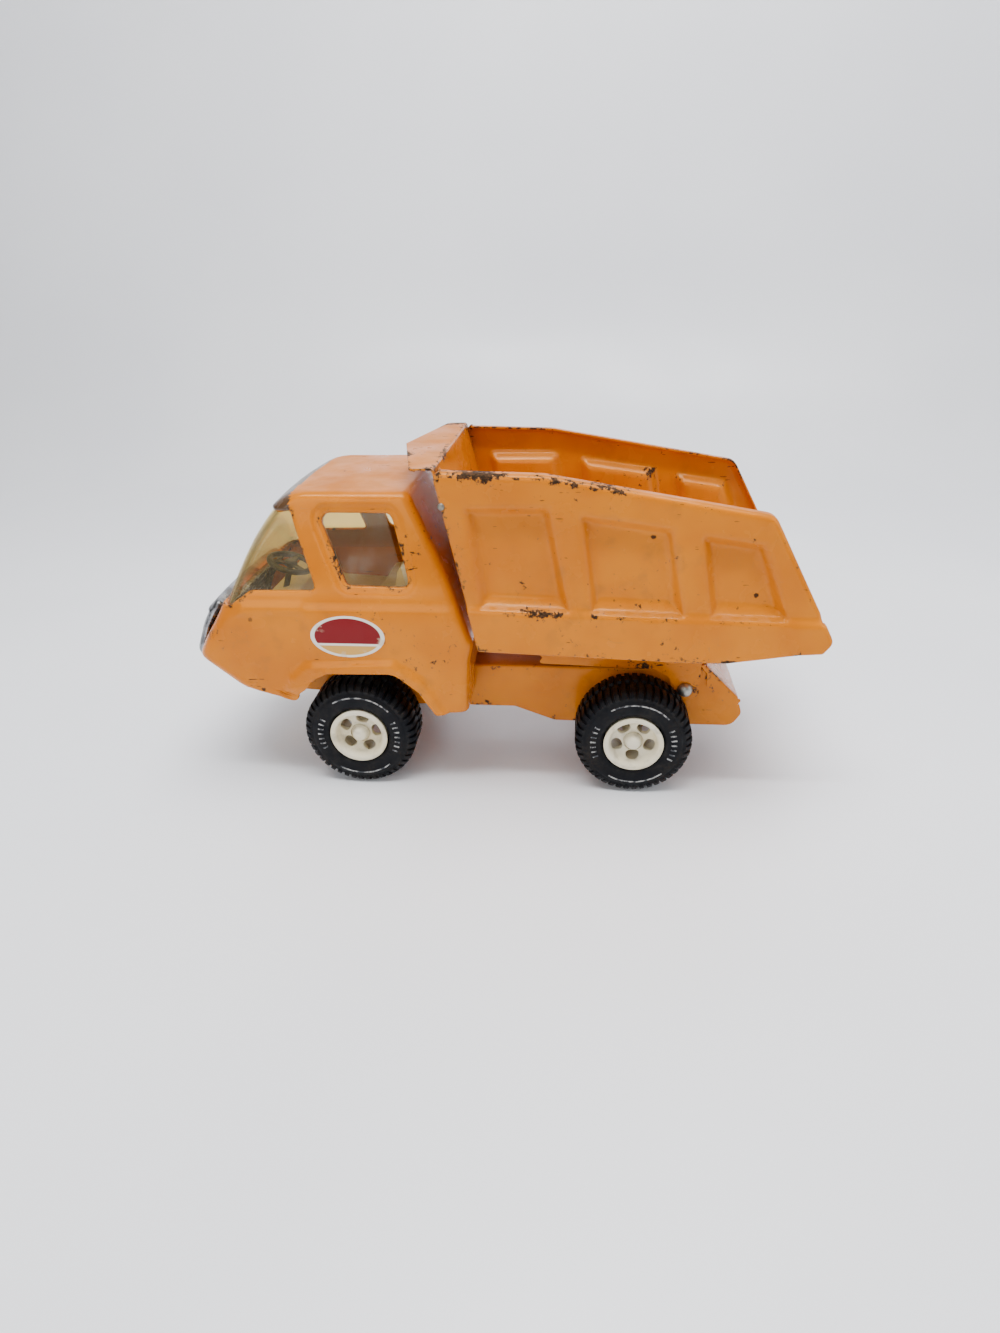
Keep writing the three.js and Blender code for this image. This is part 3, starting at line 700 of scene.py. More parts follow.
def sticker(centre, size):
    """Plain oval label: pale edge, dark red field, pale lower field."""
    n = Nodes("label")
    x = n.math("DIVIDE", n.minus(n.axis("X"), centre[0]), size[0])
    z = n.math("DIVIDE", n.minus(n.axis("Z"), centre[1]), size[1])
    radius = n.math("SQRT", n.plus(n.times(x, x), n.times(z, z)))
    inside = n.band(radius, 0.885, 0.895, 1, 0)
    upper = n.times(inside, n.band(z, -0.33, -0.31))
    lower = n.times(inside, n.band(z, -0.44, -0.42, 1, 0))
    colour = n.mix(lower, (0.78, 0.74, 0.64), (0.62, 0.34, 0.075))
    colour = n.mix(upper, colour, (0.185, 0.0003, 0.003))
    rub = n.times(n.band(n.noise(160, 5, seed=4), 0.58, 0.64), n.band(radius, 0.6, 1.0))
    colour = n.mix(n.times(rub, 0.7), colour, (0.62, 0.50, 0.36))
    n.set(Base_Color=colour)
    n.set(Roughness=n.band(n.noise(140, 3), 0.3, 0.7, 0.28, 0.45))
    n.set(Specular_IOR_Level=0.25)
    n.bump(n.noise(500, 2), 0.08, 0.00005)
    return n.material


def floor_paint():
    n = Nodes("floor")
    tone = n.band(n.noise(3, 3), 0.3, 0.7)
    n.set(Base_Color=n.mix(tone, (0.83, 0.84, 0.88), (0.88, 0.89, 0.92)))
    n.set(Roughness=n.band(n.noise(9, 3), 0.3, 0.7, 0.30, 0.42))
    return n.material


# Cab ----------------------------------------

# Height, foremost x on the centre line, rear x, half width.
CAB_FORM = np.array([
    (40, -40, 60, 55.0), (44, -42, 60, 55.2), (53.5, -47, 60.4, 55.8), (58, -64, 60.6, 56.2),
    (76, -84.2, 61.8, 57), (85, -79.3, 64, 57), (98, -70.5, 59.6, 56.9), (107, -65.8, 56.5, 55.6),
    (117, -61, 53, 53), (128, -55, 48.2, 50.8), (137, -49.5, 44, 49), (145, -43.5, 40.4, 47.4),
    (152, -37.5, 37.1, 45.9), (157, -31, 34.8, 44.9), (159.5, -26.3, 33.6, 43.4),
    (162, -22, 33, 42.4),
])
NOSE_BULGE = 3.0
NOSE_CORNER = 9.0
REAR_CORNER = 4.0
CAB_EAVES = 156.6  # where the roof's edge begins to turn over
ROOF_CROWN = 1.0
# How the roof's edge rises and draws in.
ROOF_EDGE = [(0, 0), (0.9, 0.15), (1.7, 0.5), (2.3, 1.0), (2.7, 1.7), (2.9, 2.6)]
# Widths given to the outline's five stretches in the flat pattern.
STRETCH = np.cumsum([0, 46, 14, 110, 6, 52])


def cab_row(z):
    """Foremost x, rear x and half width at height z, with the creases eased."""
    out = 0
    for shift, weight in ((-2.4, 1), (-1.2, 2), (0, 3), (1.2, 2), (2.4, 1)):
        height = np.clip(z + shift, CAB_FORM[0, 0], CAB_FORM[-1, 0])
        row = [np.interp(height, CAB_FORM[:, 0], CAB_FORM[:, k]) for k in (1, 2, 3)]
        out = out + np.array(row) * weight / 9
    return out


def cab_point(u, z, inset=0.0, bump=None):
    """The cab's left outer surface over the flat pattern: u runs from the nose round to the rear."""
    u, z = np.broadcast_arrays(np.asarray(u, float), np.asarray(z, float))
    front, rear, half = cab_row(z)
    front, rear, half = front + 1.2 * inset, rear - 1.1 * inset, half - inset
    corner, back = max(2.0, NOSE_CORNER - inset), max(1.5, REAR_CORNER - inset)
    straight = half - corner
    t = np.interp(u, STRETCH, np.arange(6))
    t = np.where(u < 0, u / STRETCH[1], t)
    bow = NOSE_BULGE * (straight / half) ** 2
    turn = (np.clip(t, 1, 2) - 1) * math.pi / 2
    rear_turn = (np.clip(t, 3, 4) - 3) * math.pi / 2
    first, last = front + bow + corner, rear - back
    x = np.select(
        [t < 1, t < 2, t < 3, t < 4],
        [front + NOSE_BULGE * (t * straight / half) ** 2,
         front + bow + corner * (1 - np.cos(turn)),
         first + (t - 2) * (last - first),
         last + back * np.sin(rear_turn)],
        rear,
    )
    y = np.select(
        [t < 1, t < 2, t < 3, t < 4],
        [t * straight, straight + corner * np.sin(turn), half,
         half - back * (1 - np.cos(rear_turn))],
        (half - back) * (5 - t),
    )
    if bump is not None:
        share = smoothstep(1.3, 2.0, t) * smoothstep(4.0, 3.4, t)
        y = y + bump(x, z) * share
    return np.stack([x, -y, z], -1)


def cab_pattern(x, z):
    """The flat pattern's u for a side-view point."""
    front, rear, half = cab_row(np.asarray(z, float))
    straight = half - NOSE_CORNER
    near = front + NOSE_BULGE * (straight / half) ** 2
    first, last = near + NOSE_CORNER, rear - REAR_CORNER
    on_front = half * np.sqrt(np.clip((x - front) / NOSE_BULGE, 0, None)) / straight
    on_corner = 1 + np.arccos(np.clip(1 - (x - near) / NOSE_CORNER, -1, 1)) / (math.pi / 2)
    on_side = 2 + (x - first) / (last - first)
    on_rear = 3 + np.arcsin(np.clip((x - last) / REAR_CORNER, 0, 1)) / (math.pi / 2)
    t = np.select([x < near, x < first, x < last], [on_front, on_corner, on_side], on_rear)
    return np.interp(t, np.arange(6), STRETCH)


SIDE_WINDOW = [(-10.8, 150.2, 4.0), (26.0, 150.0, 4.0), (33.4, 115.2, 4.0), (1.5, 115.8, 4.0)]
ARCH_LINE = [(-53, 57.9), (-30.0, 51.2, 4.6), (-19, 65.8, 6), (-11, 69.5, 6), (23, 70.2, 9),
             (35, 60, 8), (43.5, 45.8, 2), (60.3, 47.5)]
WINDSCREEN_EDGE = [(-24.1, 149.8), (-13.8, 113.4, 2.4), (-47, 113.0, 5), (-57, 106.2, 3),
                   (-60, 105.4)]
ARCH_BAND = [(-40.5, 50), (-33, 66, 5), (-23, 75, 6), (23, 77.6, 10), (38.5, 67, 6),
             (49.5, 46.5), (43.5, 40), (-40.5, 40)]
BELT_BAR = [(-56, 99.8, 1.5), (-21, 101.2, 1.5), (-21, 107.4, 1.5), (-53, 107.0, 1.5)]
BAND_LOOP = smooth_loop(ARCH_BAND, 2)
BAR_LOOP = smooth_loop(BELT_BAR, 2)
WINDOW_LOOP = smooth_loop(SIDE_WINDOW, 1.3)
ARCH_OUT = 2.4
BAR_OUT = 0.8
BELT_OUT = 0.7
WINDOW_SUNK = 0.7
HEADER_X, HEADER_Z = -24.3, 151.0  # rear and lower edge of the strip over the windscreen, painted dark brown as a painted reflection of the dark room


def cab_bump(x, z):
    """How far the pressed bands stand out of the cab's side."""
    flat = np.stack([np.ravel(x), np.ravel(z)], 1)
    band = ramp(signed_distance(flat, BAND_LOOP) + 0.3, ARCH_OUT, 0.5).reshape(np.shape(x))
    band = band * (1 - 0.55 * smoothstep(62, 53, z) * smoothstep(-10, -20, x))
    away = -signed_distance(flat, WINDOW_LOOP).reshape(np.shape(x))
    sunk = -WINDOW_SUNK * smoothstep(4.6, 3.0, away)
    bar = ramp(signed_distance(flat, BAR_LOOP), BAR_OUT, 0.4).reshape(np.shape(x))
    belt = BELT_OUT * smoothstep(106.4, 104.0, z) * smoothstep(-22, -19, x)
    return band + bar + belt + sunk


def cab_surface(u, z):
    return cab_point(u, z, bump=cab_bump)


def side_line(points, spacing=1.6):
    """A side-view line moved to the flat pattern."""
    line = densify(np.array([p[:2] for p in points], float), spacing, closed=False)
    return np.stack([cab_pattern(line[:, 0], line[:, 1]), line[:, 1]], 1)


def cab_shell(paint, dark_reflection_look):
    end = float(STRETCH[-1])
    rail = end - 28.5  # where the rear wall straddles the chassis
    outline = [(0.0, 57.6), (float(cab_pattern(-60, 57.6)), 57.6)]
    outline += list(side_line(rounded(ARCH_LINE)))
    outline += [(rail, 47.5, 1.5), (rail, 62.6, 1.5), (end, 62.6), (end, CAB_EAVES),
                (0.0, CAB_EAVES), (0.0, 151.4), (float(cab_pattern(-25.6, 151.2)), 151.2)]
    outline += list(side_line(rounded(WINDSCREEN_EDGE)))
    outline += [(36.0, 105.2, 4), (0.0, 105.2), (0.0, 102), (44.0, 102, 3), (44.0, 61, 3),
                (0.0, 61)]
    loop = smooth_loop(outline, 1.5)

    def lip(u, z):
        if u < 0.01 or u > end - 0.01 or z > CAB_EAVES - 0.01:
            return None
        if u < 46 and 60 < z < 103:
            return None
        return (1.3, 1.2) if z > 103 else (0.9, 1.6)

    window = np.stack([cab_pattern(*WINDOW_LOOP.T), WINDOW_LOOP[:, 1]], 1)
    surround = [WINDOW_LOOP + turned_outward(WINDOW_LOOP) * d for d in (3.0, 3.8, 4.6)]
    lines = [side_line(BAND_LOOP - turned_outward(BAND_LOOP) * d) for d in (-0.3, 1.3)]
    lines += [side_line(line) for line in (BAR_LOOP, *surround)]
    lines += [side_line([(-19, 106.4), (57, 106.4)]), side_line([(-19, 104), (57, 104)])]
    shell = panel(Shell(), cab_surface, (loop, lip), [(window, lambda a, b: (1.7, 1.4))],
                  spacing=1.7, features=lines)
    # The roof's rounded edge, then its gently crowned top.
    edge = densify(np.array([(0.0, 0.0), (end, 0.0)]), 1.5, closed=False)[:, 0]
    rows = [cab_point(edge, CAB_EAVES + rise, inset) for rise, inset in ROOF_EDGE]
    shell.grid(rows)
    rim = rows[-1] * (1, -1, 1)
    whole = np.concatenate([rim[:, :2], rim[::-1, :2] * (1, -1)])
    middle = densify(np.array([rim[-1, :2], rim[0, :2]]), 2.5, closed=False)[1:-1]

    def crown(x, y):
        inward = signed_distance(np.stack([x, y], 1), whole)
        rise = ROOF_CROWN * smoothstep(-6, 22, np.maximum(inward, 0))
        return xyz(x, -y, rim[0, 2] + rise - ROOF_CROWN * smoothstep(-6, 22, 0.0))

    panel(shell, crown, (np.concatenate([rim[:, :2], middle]), None), spacing=3.0, flip=True)
    # The header strip over the windscreen takes look 1: dark brown that stands for the glossy steel's
    # reflection of the dark room, a painted reflection.
    for number, face in enumerate(shell.faces):
        x, y, z = np.mean([shell.points[i] for i in face], 0)
        if x < HEADER_X and HEADER_Z < z < CAB_EAVES + ROOF_EDGE[-2][0]:
            shell.looks[number] = 1
    shell.mirror()
    piece("cab_shell_skin", shell, [paint, dark_reflection_look], "chassis", ["cab_shell"],
          thick=SHEET, weld=0.03)


GLASS_INSET = 1.7


def cab_glass(glass):
    u = np.concatenate([np.linspace(0, 46, 14), np.linspace(47, 60, 12), np.linspace(64, 150, 24)])
    shell = Shell()
    shell.grid([cab_point(u, z, GLASS_INSET) for z in np.linspace(100.5, 153.5, 34)])
    shell.mirror()
    piece("cab_glazing", shell, [glass], "chassis", ["cab_glass"], thick=0.8)


# Front trim ----------------------------------------

GRILLE_FORM = np.array([(58, -69), (60, -71), (66, -80), (74, -89.6), (90, -83), (100, -77),
                        (104, -72.5), (106, -70)])
LOUVRES = [(-0.9, -2.2), (-0.7, 1.4), (0, 1.9), (0.7, 1.4), (0.9, -2.2)]  # rise and lift of a bar
STEP_LINE = [(96.8, 0), (97.2, 0.7), (98.2, 0.7), (98.6, 0)]  # parts the top trim from the face
LAMP_Y = (-30.5, -19.0, 19.0, 30.5)
LAMP_Z = 86.4
LAMP_RIM = [(5.4, 2.5), (5.4, -0.6), (5.0, -1.2), (4.4, -1.0), (4.2, 0.2)]
LAMP_LENS = [(4.3, 0.1), (3.6, -0.9), (2.4, -1.6), (1.0, -1.95), (0.01, -2.0)]
RECESS_DEPTH = 5.0


def grille_front(y, z):
    z, y = np.asarray(z, float), np.asarray(y, float)
    x = sum(np.interp(z + k, *GRILLE_FORM.T) for k in (-1.6, -0.8, 0, 0.8, 1.6))
    corner = np.clip((np.abs(y) - 38) / 9, 0, 1)
    return x / 5 + NOSE_BULGE * (y / 57) ** 2 + 6.5 * (1 - np.sqrt(1 - 0.97 * corner**2))


def framed(half, low, high, low_round, high_round, spacing=1.6):
    """An upright rectangle about the middle, with rounded corners."""
    return smooth_loop([(-half, low, low_round), (half, low, low_round), (half, high, high_round),
                        (-half, high, high_round)], spacing)


def grille(chrome, dark, lens):
    def surface(y, z):
        return xyz(grille_front(y, z), y, z)

    def back(y, z):
        return xyz(grille_front(y, z) + RECESS_DEPTH, y, z)

    shell = panel(Shell(), surface, (framed(46.5, 60.4, 104, 5, 4), lambda a, b: (1.6, 6.0)),
                  [(framed(38, 77.5, 95, 3, 3), lambda a, b: (0.9, 3.6))], spacing=2.2, flip=True)
    # The recessed back, coloured near-black.
    panel(shell, back, (framed(38.6, 77, 95.5, 3, 3, 2), None), spacing=3, flip=True, look=1)
    across = np.linspace(-44.6, 44.6, 60)
    shell.grid([xyz(grille_front(across, z) - out, across, z) for z, out in STEP_LINE])
    across = across * 0.84
    for z in np.linspace(80.2, 92.6, 5):
        shell.grid([xyz(grille_front(across, z) + 2.8 - out, across, z + rise)
                    for rise, out in LOUVRES])
    upright = Matrix.Rotation(math.atan2(6.6, 16), 4, "Y") @ Matrix.Rotation(math.pi / 2, 4, "Z")
    for y in LAMP_Y:
        place = Matrix.Translation((float(grille_front(y, LAMP_Z)) + 2.4, y, LAMP_Z)) @ upright
        for look, profile in ((0, LAMP_RIM), (2, LAMP_LENS)):
            part = Shell()
            lathe(part, [(r, -d) for r, d in profile], (0, 0), 32)
            shell.add(part.placed(place).points, part.faces, look)
    piece("grille_trim", shell, [chrome, dark, lens], "chassis", ["grille"])


# Interior ----------------------------------------


def extruded(shell, outline, y0, y1):
    """A side-view outline made solid across the truck, with both ends filled."""
    loop = densify(outline, 4.0)
    if not anticlockwise(loop):
        loop = loop[::-1]
    rows = [xyz(loop[:, 0], y, loop[:, 1]) for y in (y0, y1)]
    shell.grid(rows, closed=True, flip=True)
    near, far = range(len(loop)), range(len(loop), 2 * len(loop))
    shell.add(np.concatenate(rows), [tuple(near), tuple(reversed(far))])


def interior(cream):
    shell = Shell()
    dash = [(-52, 82), (-52, 99, 3), (-40, 103, 4), (-34, 101, 2), (-30, 86, 3), (2, 84, 3), (2, 82)]
    cushion = [(2.4, 82), (3.5, 94, 3), (21, 95.5, 4), (22, 82)]
    back = [(21.5, 84), (22, 96, 3), (26, 121, 4), (32, 124.5, 4), (37, 118, 4), (40, 96), (40, 84)]
    extruded(shell, rounded(dash), -45.5, 45.5)
    extruded(shell, rounded(cushion), -44, 44)
    for y0, y1 in ((-44, -1.2), (1.2, 44)):
        extruded(shell, rounded(back), y0, y1)
    piece("cab_moulding", shell, [cream], "chassis", ["cab_interior"], bevel=1.4,
          weld=0.01)


WHEEL_AT = (-37.4, -20, 115.6)  # middle of the steering wheel
WHEEL_LEAN = 18
GRIPS = 16  # finger grips round the wheel's rim
COLUMN = [(0.01, -15.0), (1.6, -15.0), (1.6, -2.0), (3.4, -1.2), (3.4, 0.8), (2.4, 1.5), (0.01, 1.6)]


def steering(dark):
    shell = Shell()
    turns = around(64)
    rows = []
    for turn in np.linspace(0, 2 * math.pi, 17):
        r = 11 + 1.6 * np.cos(turn) + 0.12 * np.cos(GRIPS * turns) * (math.cos(turn) < 0)
        rows.append(xyz(r * np.cos(turns), r * np.sin(turns), 1.6 * np.sin(turn)))
    shell.grid(rows, closed=True)
    for turn in (90, 210, 330):
        block(shell, (0, -1.5, -0.7), (10.6, 1.5, 0.5), Matrix.Rotation(math.radians(turn), 4, "Z"))
    column = Shell()
    lathe(column, COLUMN, (0, 0), 28)
    shell.add([(x, -z, y) for x, y, z in column.points], column.faces)
    shell.placed(Matrix.Translation(WHEEL_AT) @ Matrix.Rotation(math.radians(WHEEL_LEAN), 4, "Y"))
    piece("steering_wheel_rim", shell, [dark], "chassis", ["steering_wheel"])


# Chassis ----------------------------------------

RAIL = [(-52, 61), (-52, 44), (-18, 42), (-12, 25, 5), (12, 25, 5), (20, 35.7, 2), (82, 35.7, 6),
        (104, 27.5, 8), (136, 27.2), (140, 24.5, 2), (152, 24.5, 2), (156, 27.2), (200.5, 27.2, 7),
        (205, 35, 4), (203, 41.6), (182.6, 62.2, 3), (177, 61, 3)]


TAIL_SIDE = RAIL_Y + 1.2
TAIL = [(181.2, 63.3), (182.6, 64.8, 1.3), (203.9, 43.3, 1.3), (201.5, 40, 2), (197.2, 38.5, 2.5),
        (185.1, 50.8, 2.5), (184.6, 59.0, 2)]
BRACKET = [(96, 84.4, 2.2), (96, 63.6, 1.8), (157, 61.6, 5), (165, 57, 4), (167.5, 44, 5),
           (181, 43.8, 6), (181, 81.2, 2.2)]
CAP_FACE = 29.75
CAP = [(0.01, 3.3), (1.2, 3.22), (2.3, 2.85), (3.2, 2.1), (3.8, 1.2), (4.1, 0.35), (4.15, 0.0),
       (2.6, 0.0), (2.6, 1.2), (0.01, 1.35)]


def flat_side(y):
    """A side plate at that distance from the middle, on the left."""
    return lambda a, b: xyz(a, -y, b)


def hole(x, z, radius):
    """A plain round hole through a side plate."""
    return oval(x, z, radius, radius, 20), None


def side_plates(name, paint, outline, spacing, y, lip, holes, fineness, body, node, thick=SHEET):
    """Two side plates, left and right, whose turned edges can meet in the middle."""
    shell = panel(Shell(), flat_side(y), (smooth_loop(outline, spacing), lip), holes,
                  spacing=fineness)
    piece(name, shell.mirror(), [paint], body, [node], thick=thick)


def chassis(paint):
    def lip(x, z):
        deck = z > 60.9 and x < 181.5
        slope = x > 181 and z > 41.2 and abs((x - 182.6) + (z - 62.2)) < 1.6
        return (1.6, RAIL_Y - 1.6) if deck or slope else None

    holes = [hole(x, TYRE_R, AXLE_R + 0.4) for x in (0, WHEELBASE)] + [hole(HINGE_X, HINGE_Z, 2.8)]
    side_plates("chassis_channel", paint, RAIL, 2.0, RAIL_Y, lip, holes, 4.0, "chassis",
                "chassis_frame")


def tail(paint):
    def lip(x, z):
        on_slope = abs((x - 182.6) + (z - 64.8)) < 1.2 and 183.6 < x < 202.8
        return (0.8, TAIL_SIDE - 0.8) if on_slope else None

    side_plates("tail_plate", paint, TAIL, 1.0, TAIL_SIDE, lip, [], 2.0, "chassis", "tail_cover", 0.8)


def bracket(paint):
    def lip(x, z):
        top = z > 81.0 - 0.04 * (x - 181) and x < 178.7
        front = x < 96.2 and z > 65.6
        return (1.4, BRACKET_Y - 1.4) if top or front else None

    side_plates("hinge_bracket", paint, BRACKET, 2.0, BRACKET_Y, lip, [hole(HINGE_X, HINGE_Z, 2.8)],
                3.5, "bed", "bed_hinge_bracket")


def rod(name, steel, radius, half, ease, chamfer, centre, body, node):
    """A rod across the truck with chamfered ends."""
    quarter = [(0.01, half), (radius - ease, half), (radius, half - chamfer)]
    shell = Shell()
    lathe(shell, [(r, -y) for r, y in quarter] + quarter[::-1], centre, 24)
    piece(name, shell, [steel], body, [node])


def hinge(nickel, steel):
    centre = (HINGE_X, HINGE_Z)
    rod("hinge_rod", steel, 2.4, PIN_HIGH.y / MM, 0.2, 0.4, centre, "chassis", "hinge_pin")
    for side, name in SIDES:
        cap = Shell()
        lathe(cap, [(r, -(CAP_FACE + d)) for r, d in CAP], centre, 32)
        piece(f"hinge_dome_{name}", cap.on_side(side), [nickel], "chassis",
              [f"hinge_cap_{name}"])


# Wheels ----------------------------------------

LUGS = 44
LUG_HEIGHT = 1.5
TREAD_R = TYRE_R - LUG_HEIGHT
# Tyre section from its outer face: radius, distance in from the face, lug height, row of lugs.
TYRE_SECTION = [
    (15.8, 3.4, 0, 0), (15.9, 1.8, 0, 0), (16.6, 0.9, 0, 0), (17.6, 0.55, 0, 0), (19.0, 0.45, 0, 0),
    (21.0, 0.2, 0, 0), (23.0, 0.1, 0, 0), (24.6, 0.25, 0, 0), (25.2, 0.75, 0, 0), (25.6, 0.85, 0, 0),
    (26.3, 0.9, 0.0, 1), (26.8, 1.1, 0.65, 1), (27.7, 2.1, 1.0, 1), (TREAD_R - 0.4, 3.3, 1.3, 1),
    (TREAD_R, 4.6, 1.5, 1), (TREAD_R, 8.5, 1.5, 1), (TREAD_R, 12.2, 1.5, 1), (TREAD_R, 12.7, 0, 1),
    (TREAD_R, 13.5, 0, 1),
]


def lug_mask(share, row):
    """1 on a lug and 0 between lugs; the second row is half a pitch out."""
    at = (share + (0.5 if row == 2 else 0.0)) % 1.0
    return smoothstep(0.08, 0.15, at) * smoothstep(0.78, 0.71, at)


# Where, along one lug's pitch, the tread has its vertices.
LUG_MARKS = (0.0, 0.08, 0.11, 0.15, 0.21, 0.25, 0.28, 0.4, 0.5, 0.58, 0.61, 0.65, 0.71, 0.745, 0.78, 0.9)
# Raised marks on the sidewall: radius inside and outside, and where they start and stop, in degrees.
ARCS = [(22.9, 23.5, 42, 122), (22.9, 23.5, 238, 312)]
BARS = [(19.6, 22.4, middle + 8 * k - 1.2, middle + 8 * k + 1.2)
        for middle in (0, 178) for k in range(-3, 4)]


def tyre(x, side, rubber_look, mark, name, body):
    shares = np.array([k + m for k in range(LUGS) for m in LUG_MARKS])
    turns = shares / LUGS * 2 * math.pi
    far = [(r, TYRE_W - w, h, 2 if row else 0) for r, w, h, row in TYRE_SECTION[-2::-1]]
    section = TYRE_SECTION + far
    rows = []
    for k, (radius, width, height, row) in enumerate(section):
        before, after = section[max(k - 1, 0)], section[min(k + 1, len(section) - 1)]
        run = np.array([after[0] - before[0], after[1] - before[1]])
        run = run / np.linalg.norm(run)
        out = np.array([run[1], -run[0]])  # away from the rubber, in (radius, width)
        lift = height * lug_mask(shares % 1.0, row) if height else np.zeros(len(shares))
        r = radius + out[0] * lift
        w = width + out[1] * lift
        rows.append(xyz(x + r * np.cos(turns), w - TYRE_FACE, TYRE_R + r * np.sin(turns)))
    shell = Shell()
    shell.grid(rows, closed=True, flip=True)
    for mark_at in ARCS + BARS:
        raised_arc(shell, x, *mark_at)
    piece(name, shell.on_side(side), [rubber_look, mark], body,
          [name.replace("tread_", "tyre_")], sharp=35)


def raised_arc(shell, x, r0, r1, start, stop):
    turns = np.radians(np.linspace(start, stop, max(2, int((stop - start) / 3) + 1)))
    section = ((r0 - 0.1, 0.35), (r0, -0.12), (r1, -0.12), (r1 + 0.1, 0.35))
    shell.grid([xyz(x + r * np.cos(turns), y - TYRE_FACE, TYRE_R + r * np.sin(turns))
                for r, y in section], flip=True, look=1)


HUB_PROFILE = np.array([
    (0, -0.1), (1.4, -0.1), (1.7, 0.25), (2.9, 0.3), (3.5, 0.9), (4.1, 3.2), (4.9, 4.4), (5.8, 4.7),
    (10.9, 5.0), (11.6, 4.6), (12.0, 3.2), (12.3, 1.2), (12.8, -0.1), (13.3, -0.55), (14.6, -0.6),
    (15.2, -0.35), (16.2, -0.2),
])
HUB_R = 15.7
HUB_CREASES = (1.4, 1.8, 2.9, 3.5, 4.1, 4.9, 11.6, 12.0, 12.5, 13.1, 14.6, 15.1)
WINDOW_R = 8.7  # how far from the hub's middle its windows are
WINDOW_HALF = (2.6, 3.5)  # along the radius and across it


def hub_window(degrees):
    middle = math.radians(degrees)
    direction = np.array([math.cos(middle), math.sin(middle)])
    across = np.array([-math.sin(middle), math.cos(middle)])
    points = []
    for turn in around(28):
        c, s = (math.copysign(abs(v) ** 0.8, v) for v in (math.cos(turn), math.sin(turn)))
        points.append(direction * (WINDOW_R + WINDOW_HALF[0] * c) + across * (WINDOW_HALF[1] * s))
    return np.array(points), lambda a, b: (0.35, 2.6)


def hub(x, side, cream, name, body, start_angle):
    def surface(a, b):
        r = np.sqrt(a * a + b * b)
        depth = sum(np.interp(r + k, *HUB_PROFILE.T) for k in (-0.2, 0, 0.2)) / 3
        return xyz(x + a, depth - TYRE_FACE, TYRE_R + b)

    rim = (oval(0, 0, HUB_R, HUB_R, 96), lambda a, b: (0.5, 3.0))
    windows = [hub_window(start_angle + 72 * k) for k in range(5)]
    creases = [oval(0, 0, r, r, 48) for r in HUB_CREASES]
    shell = panel(Shell(), surface, rim, windows, spacing=0.8, features=creases, steps=3)
    back = TYRE_W - TYRE_FACE
    lathe(shell, [(14.2, 1.2 - TYRE_FACE), (14.2, back - 3), (13.2, back - 3), (13.2, 3.4 - TYRE_FACE)],
          (x, TYRE_R), 48)
    bore = AXLE_R + 0.3
    lathe(shell, [(5.2, 3.2 - TYRE_FACE), (5.2, back - 2.6), (bore, back - 2.6), (bore, 3.4 - TYRE_FACE)],
          (x, TYRE_R), 32)
    piece(name, shell.on_side(side), [cream], body, [name.replace("wheel_", "hub_")])


# Bed ----------------------------------------

BED = [(48.7, 173.0, 3.2), (99.2, 171.3, 25), (202, 153.4, 8), (235.5, 93.5, 4), (231, 87.4, 2.5),
       (219.8, 86.6), (187.7, 81.6, 8), (168.7, 81.2), (67.1, 85.1, 2)]
PANELS = [
    [(62, 157, 3), (102, 157, 3), (111.9, 106.2, 1.5), (68.6, 107.4, 1.5)],
    [(115, 154, 3), (158, 147.8, 3), (165.9, 104.6, 1.5), (121.7, 105.9, 1.5)],
    [(170, 145, 3), (199, 140.6, 3), (214, 103.3, 1.5), (177.7, 104.3, 1.5)],
]
PANEL_DEPTH = 5.0
BAND_OUT = 2.0
PANEL_LOOPS = [smooth_loop(p, 1.5) for p in PANELS]


def ledge(x):
    """Height of the lower band's top edge."""
    return 106.6 - (x - 60) * 0.028


def bed_surface(a, b):
    flat = np.stack([a, b], 1)
    y = BED_HALF
    for loop in PANEL_LOOPS:
        inward = ramp(signed_distance(flat, loop) * 1.15, PANEL_DEPTH, 0.9)
        y = y - np.minimum(inward, ramp((b - ledge(a) - 0.6) * 0.9, PANEL_DEPTH, 0.9))
    y = y + ramp(ledge(a) + BAND_OUT - b, BAND_OUT, 0.6)
    return xyz(a, -y, b)


def bed_lip(x, z):
    """The top and rear rims turn in by more than the front and bottom edges."""
    top = smoothstep(0, 6, np.array((x - 46) * 0.98 + (z - 165)))
    rear = smoothstep(90, 97, np.array(z)) if x > 190 else 0.0
    on_front = x < 48.7 + (173 - z) * 0.21 + 2.2
    share = 0.0 if on_front and z < 171 else float(max(top if z > 140 else 0, rear))
    return 1.1 + 1.6 * share, 1.4 + 1.8 * share


def bed_side(paint, side, name):
    lines = []
    for outline in PANEL_LOOPS:
        away = turned_outward(outline)
        lines += [outline - away * d for d in (-0.3, 0.9, 2.4, 3.9, 5.0)]
    ends = np.arange(58, 236, 1.8)
    lines += [np.stack([ends, ledge(ends) + d], 1) for d in (-0.2, 1.1, 2.4)]
    shell = panel(Shell(), bed_surface, (smooth_loop(BED, 1.6), bed_lip), spacing=1.9,
                  features=lines, steps=5)
    piece(f"bed_wall_{name}", shell.on_side(side), [paint], "bed", [f"bed_side_{name}"],
          thick=SHEET)


FLOOR_LINE = np.array([(67.9, 86.4), (168.7, 82.7), (187.7, 83.1), (219.8, 88.1), (231, 89.0)])
FLOOR_HALF = 60.3
FLOOR_EDGE = [(0, 6.5), (0, 3), (0.3, 1.2), (1.2, 0.3), (2.5, 0)]  # distance in, and height


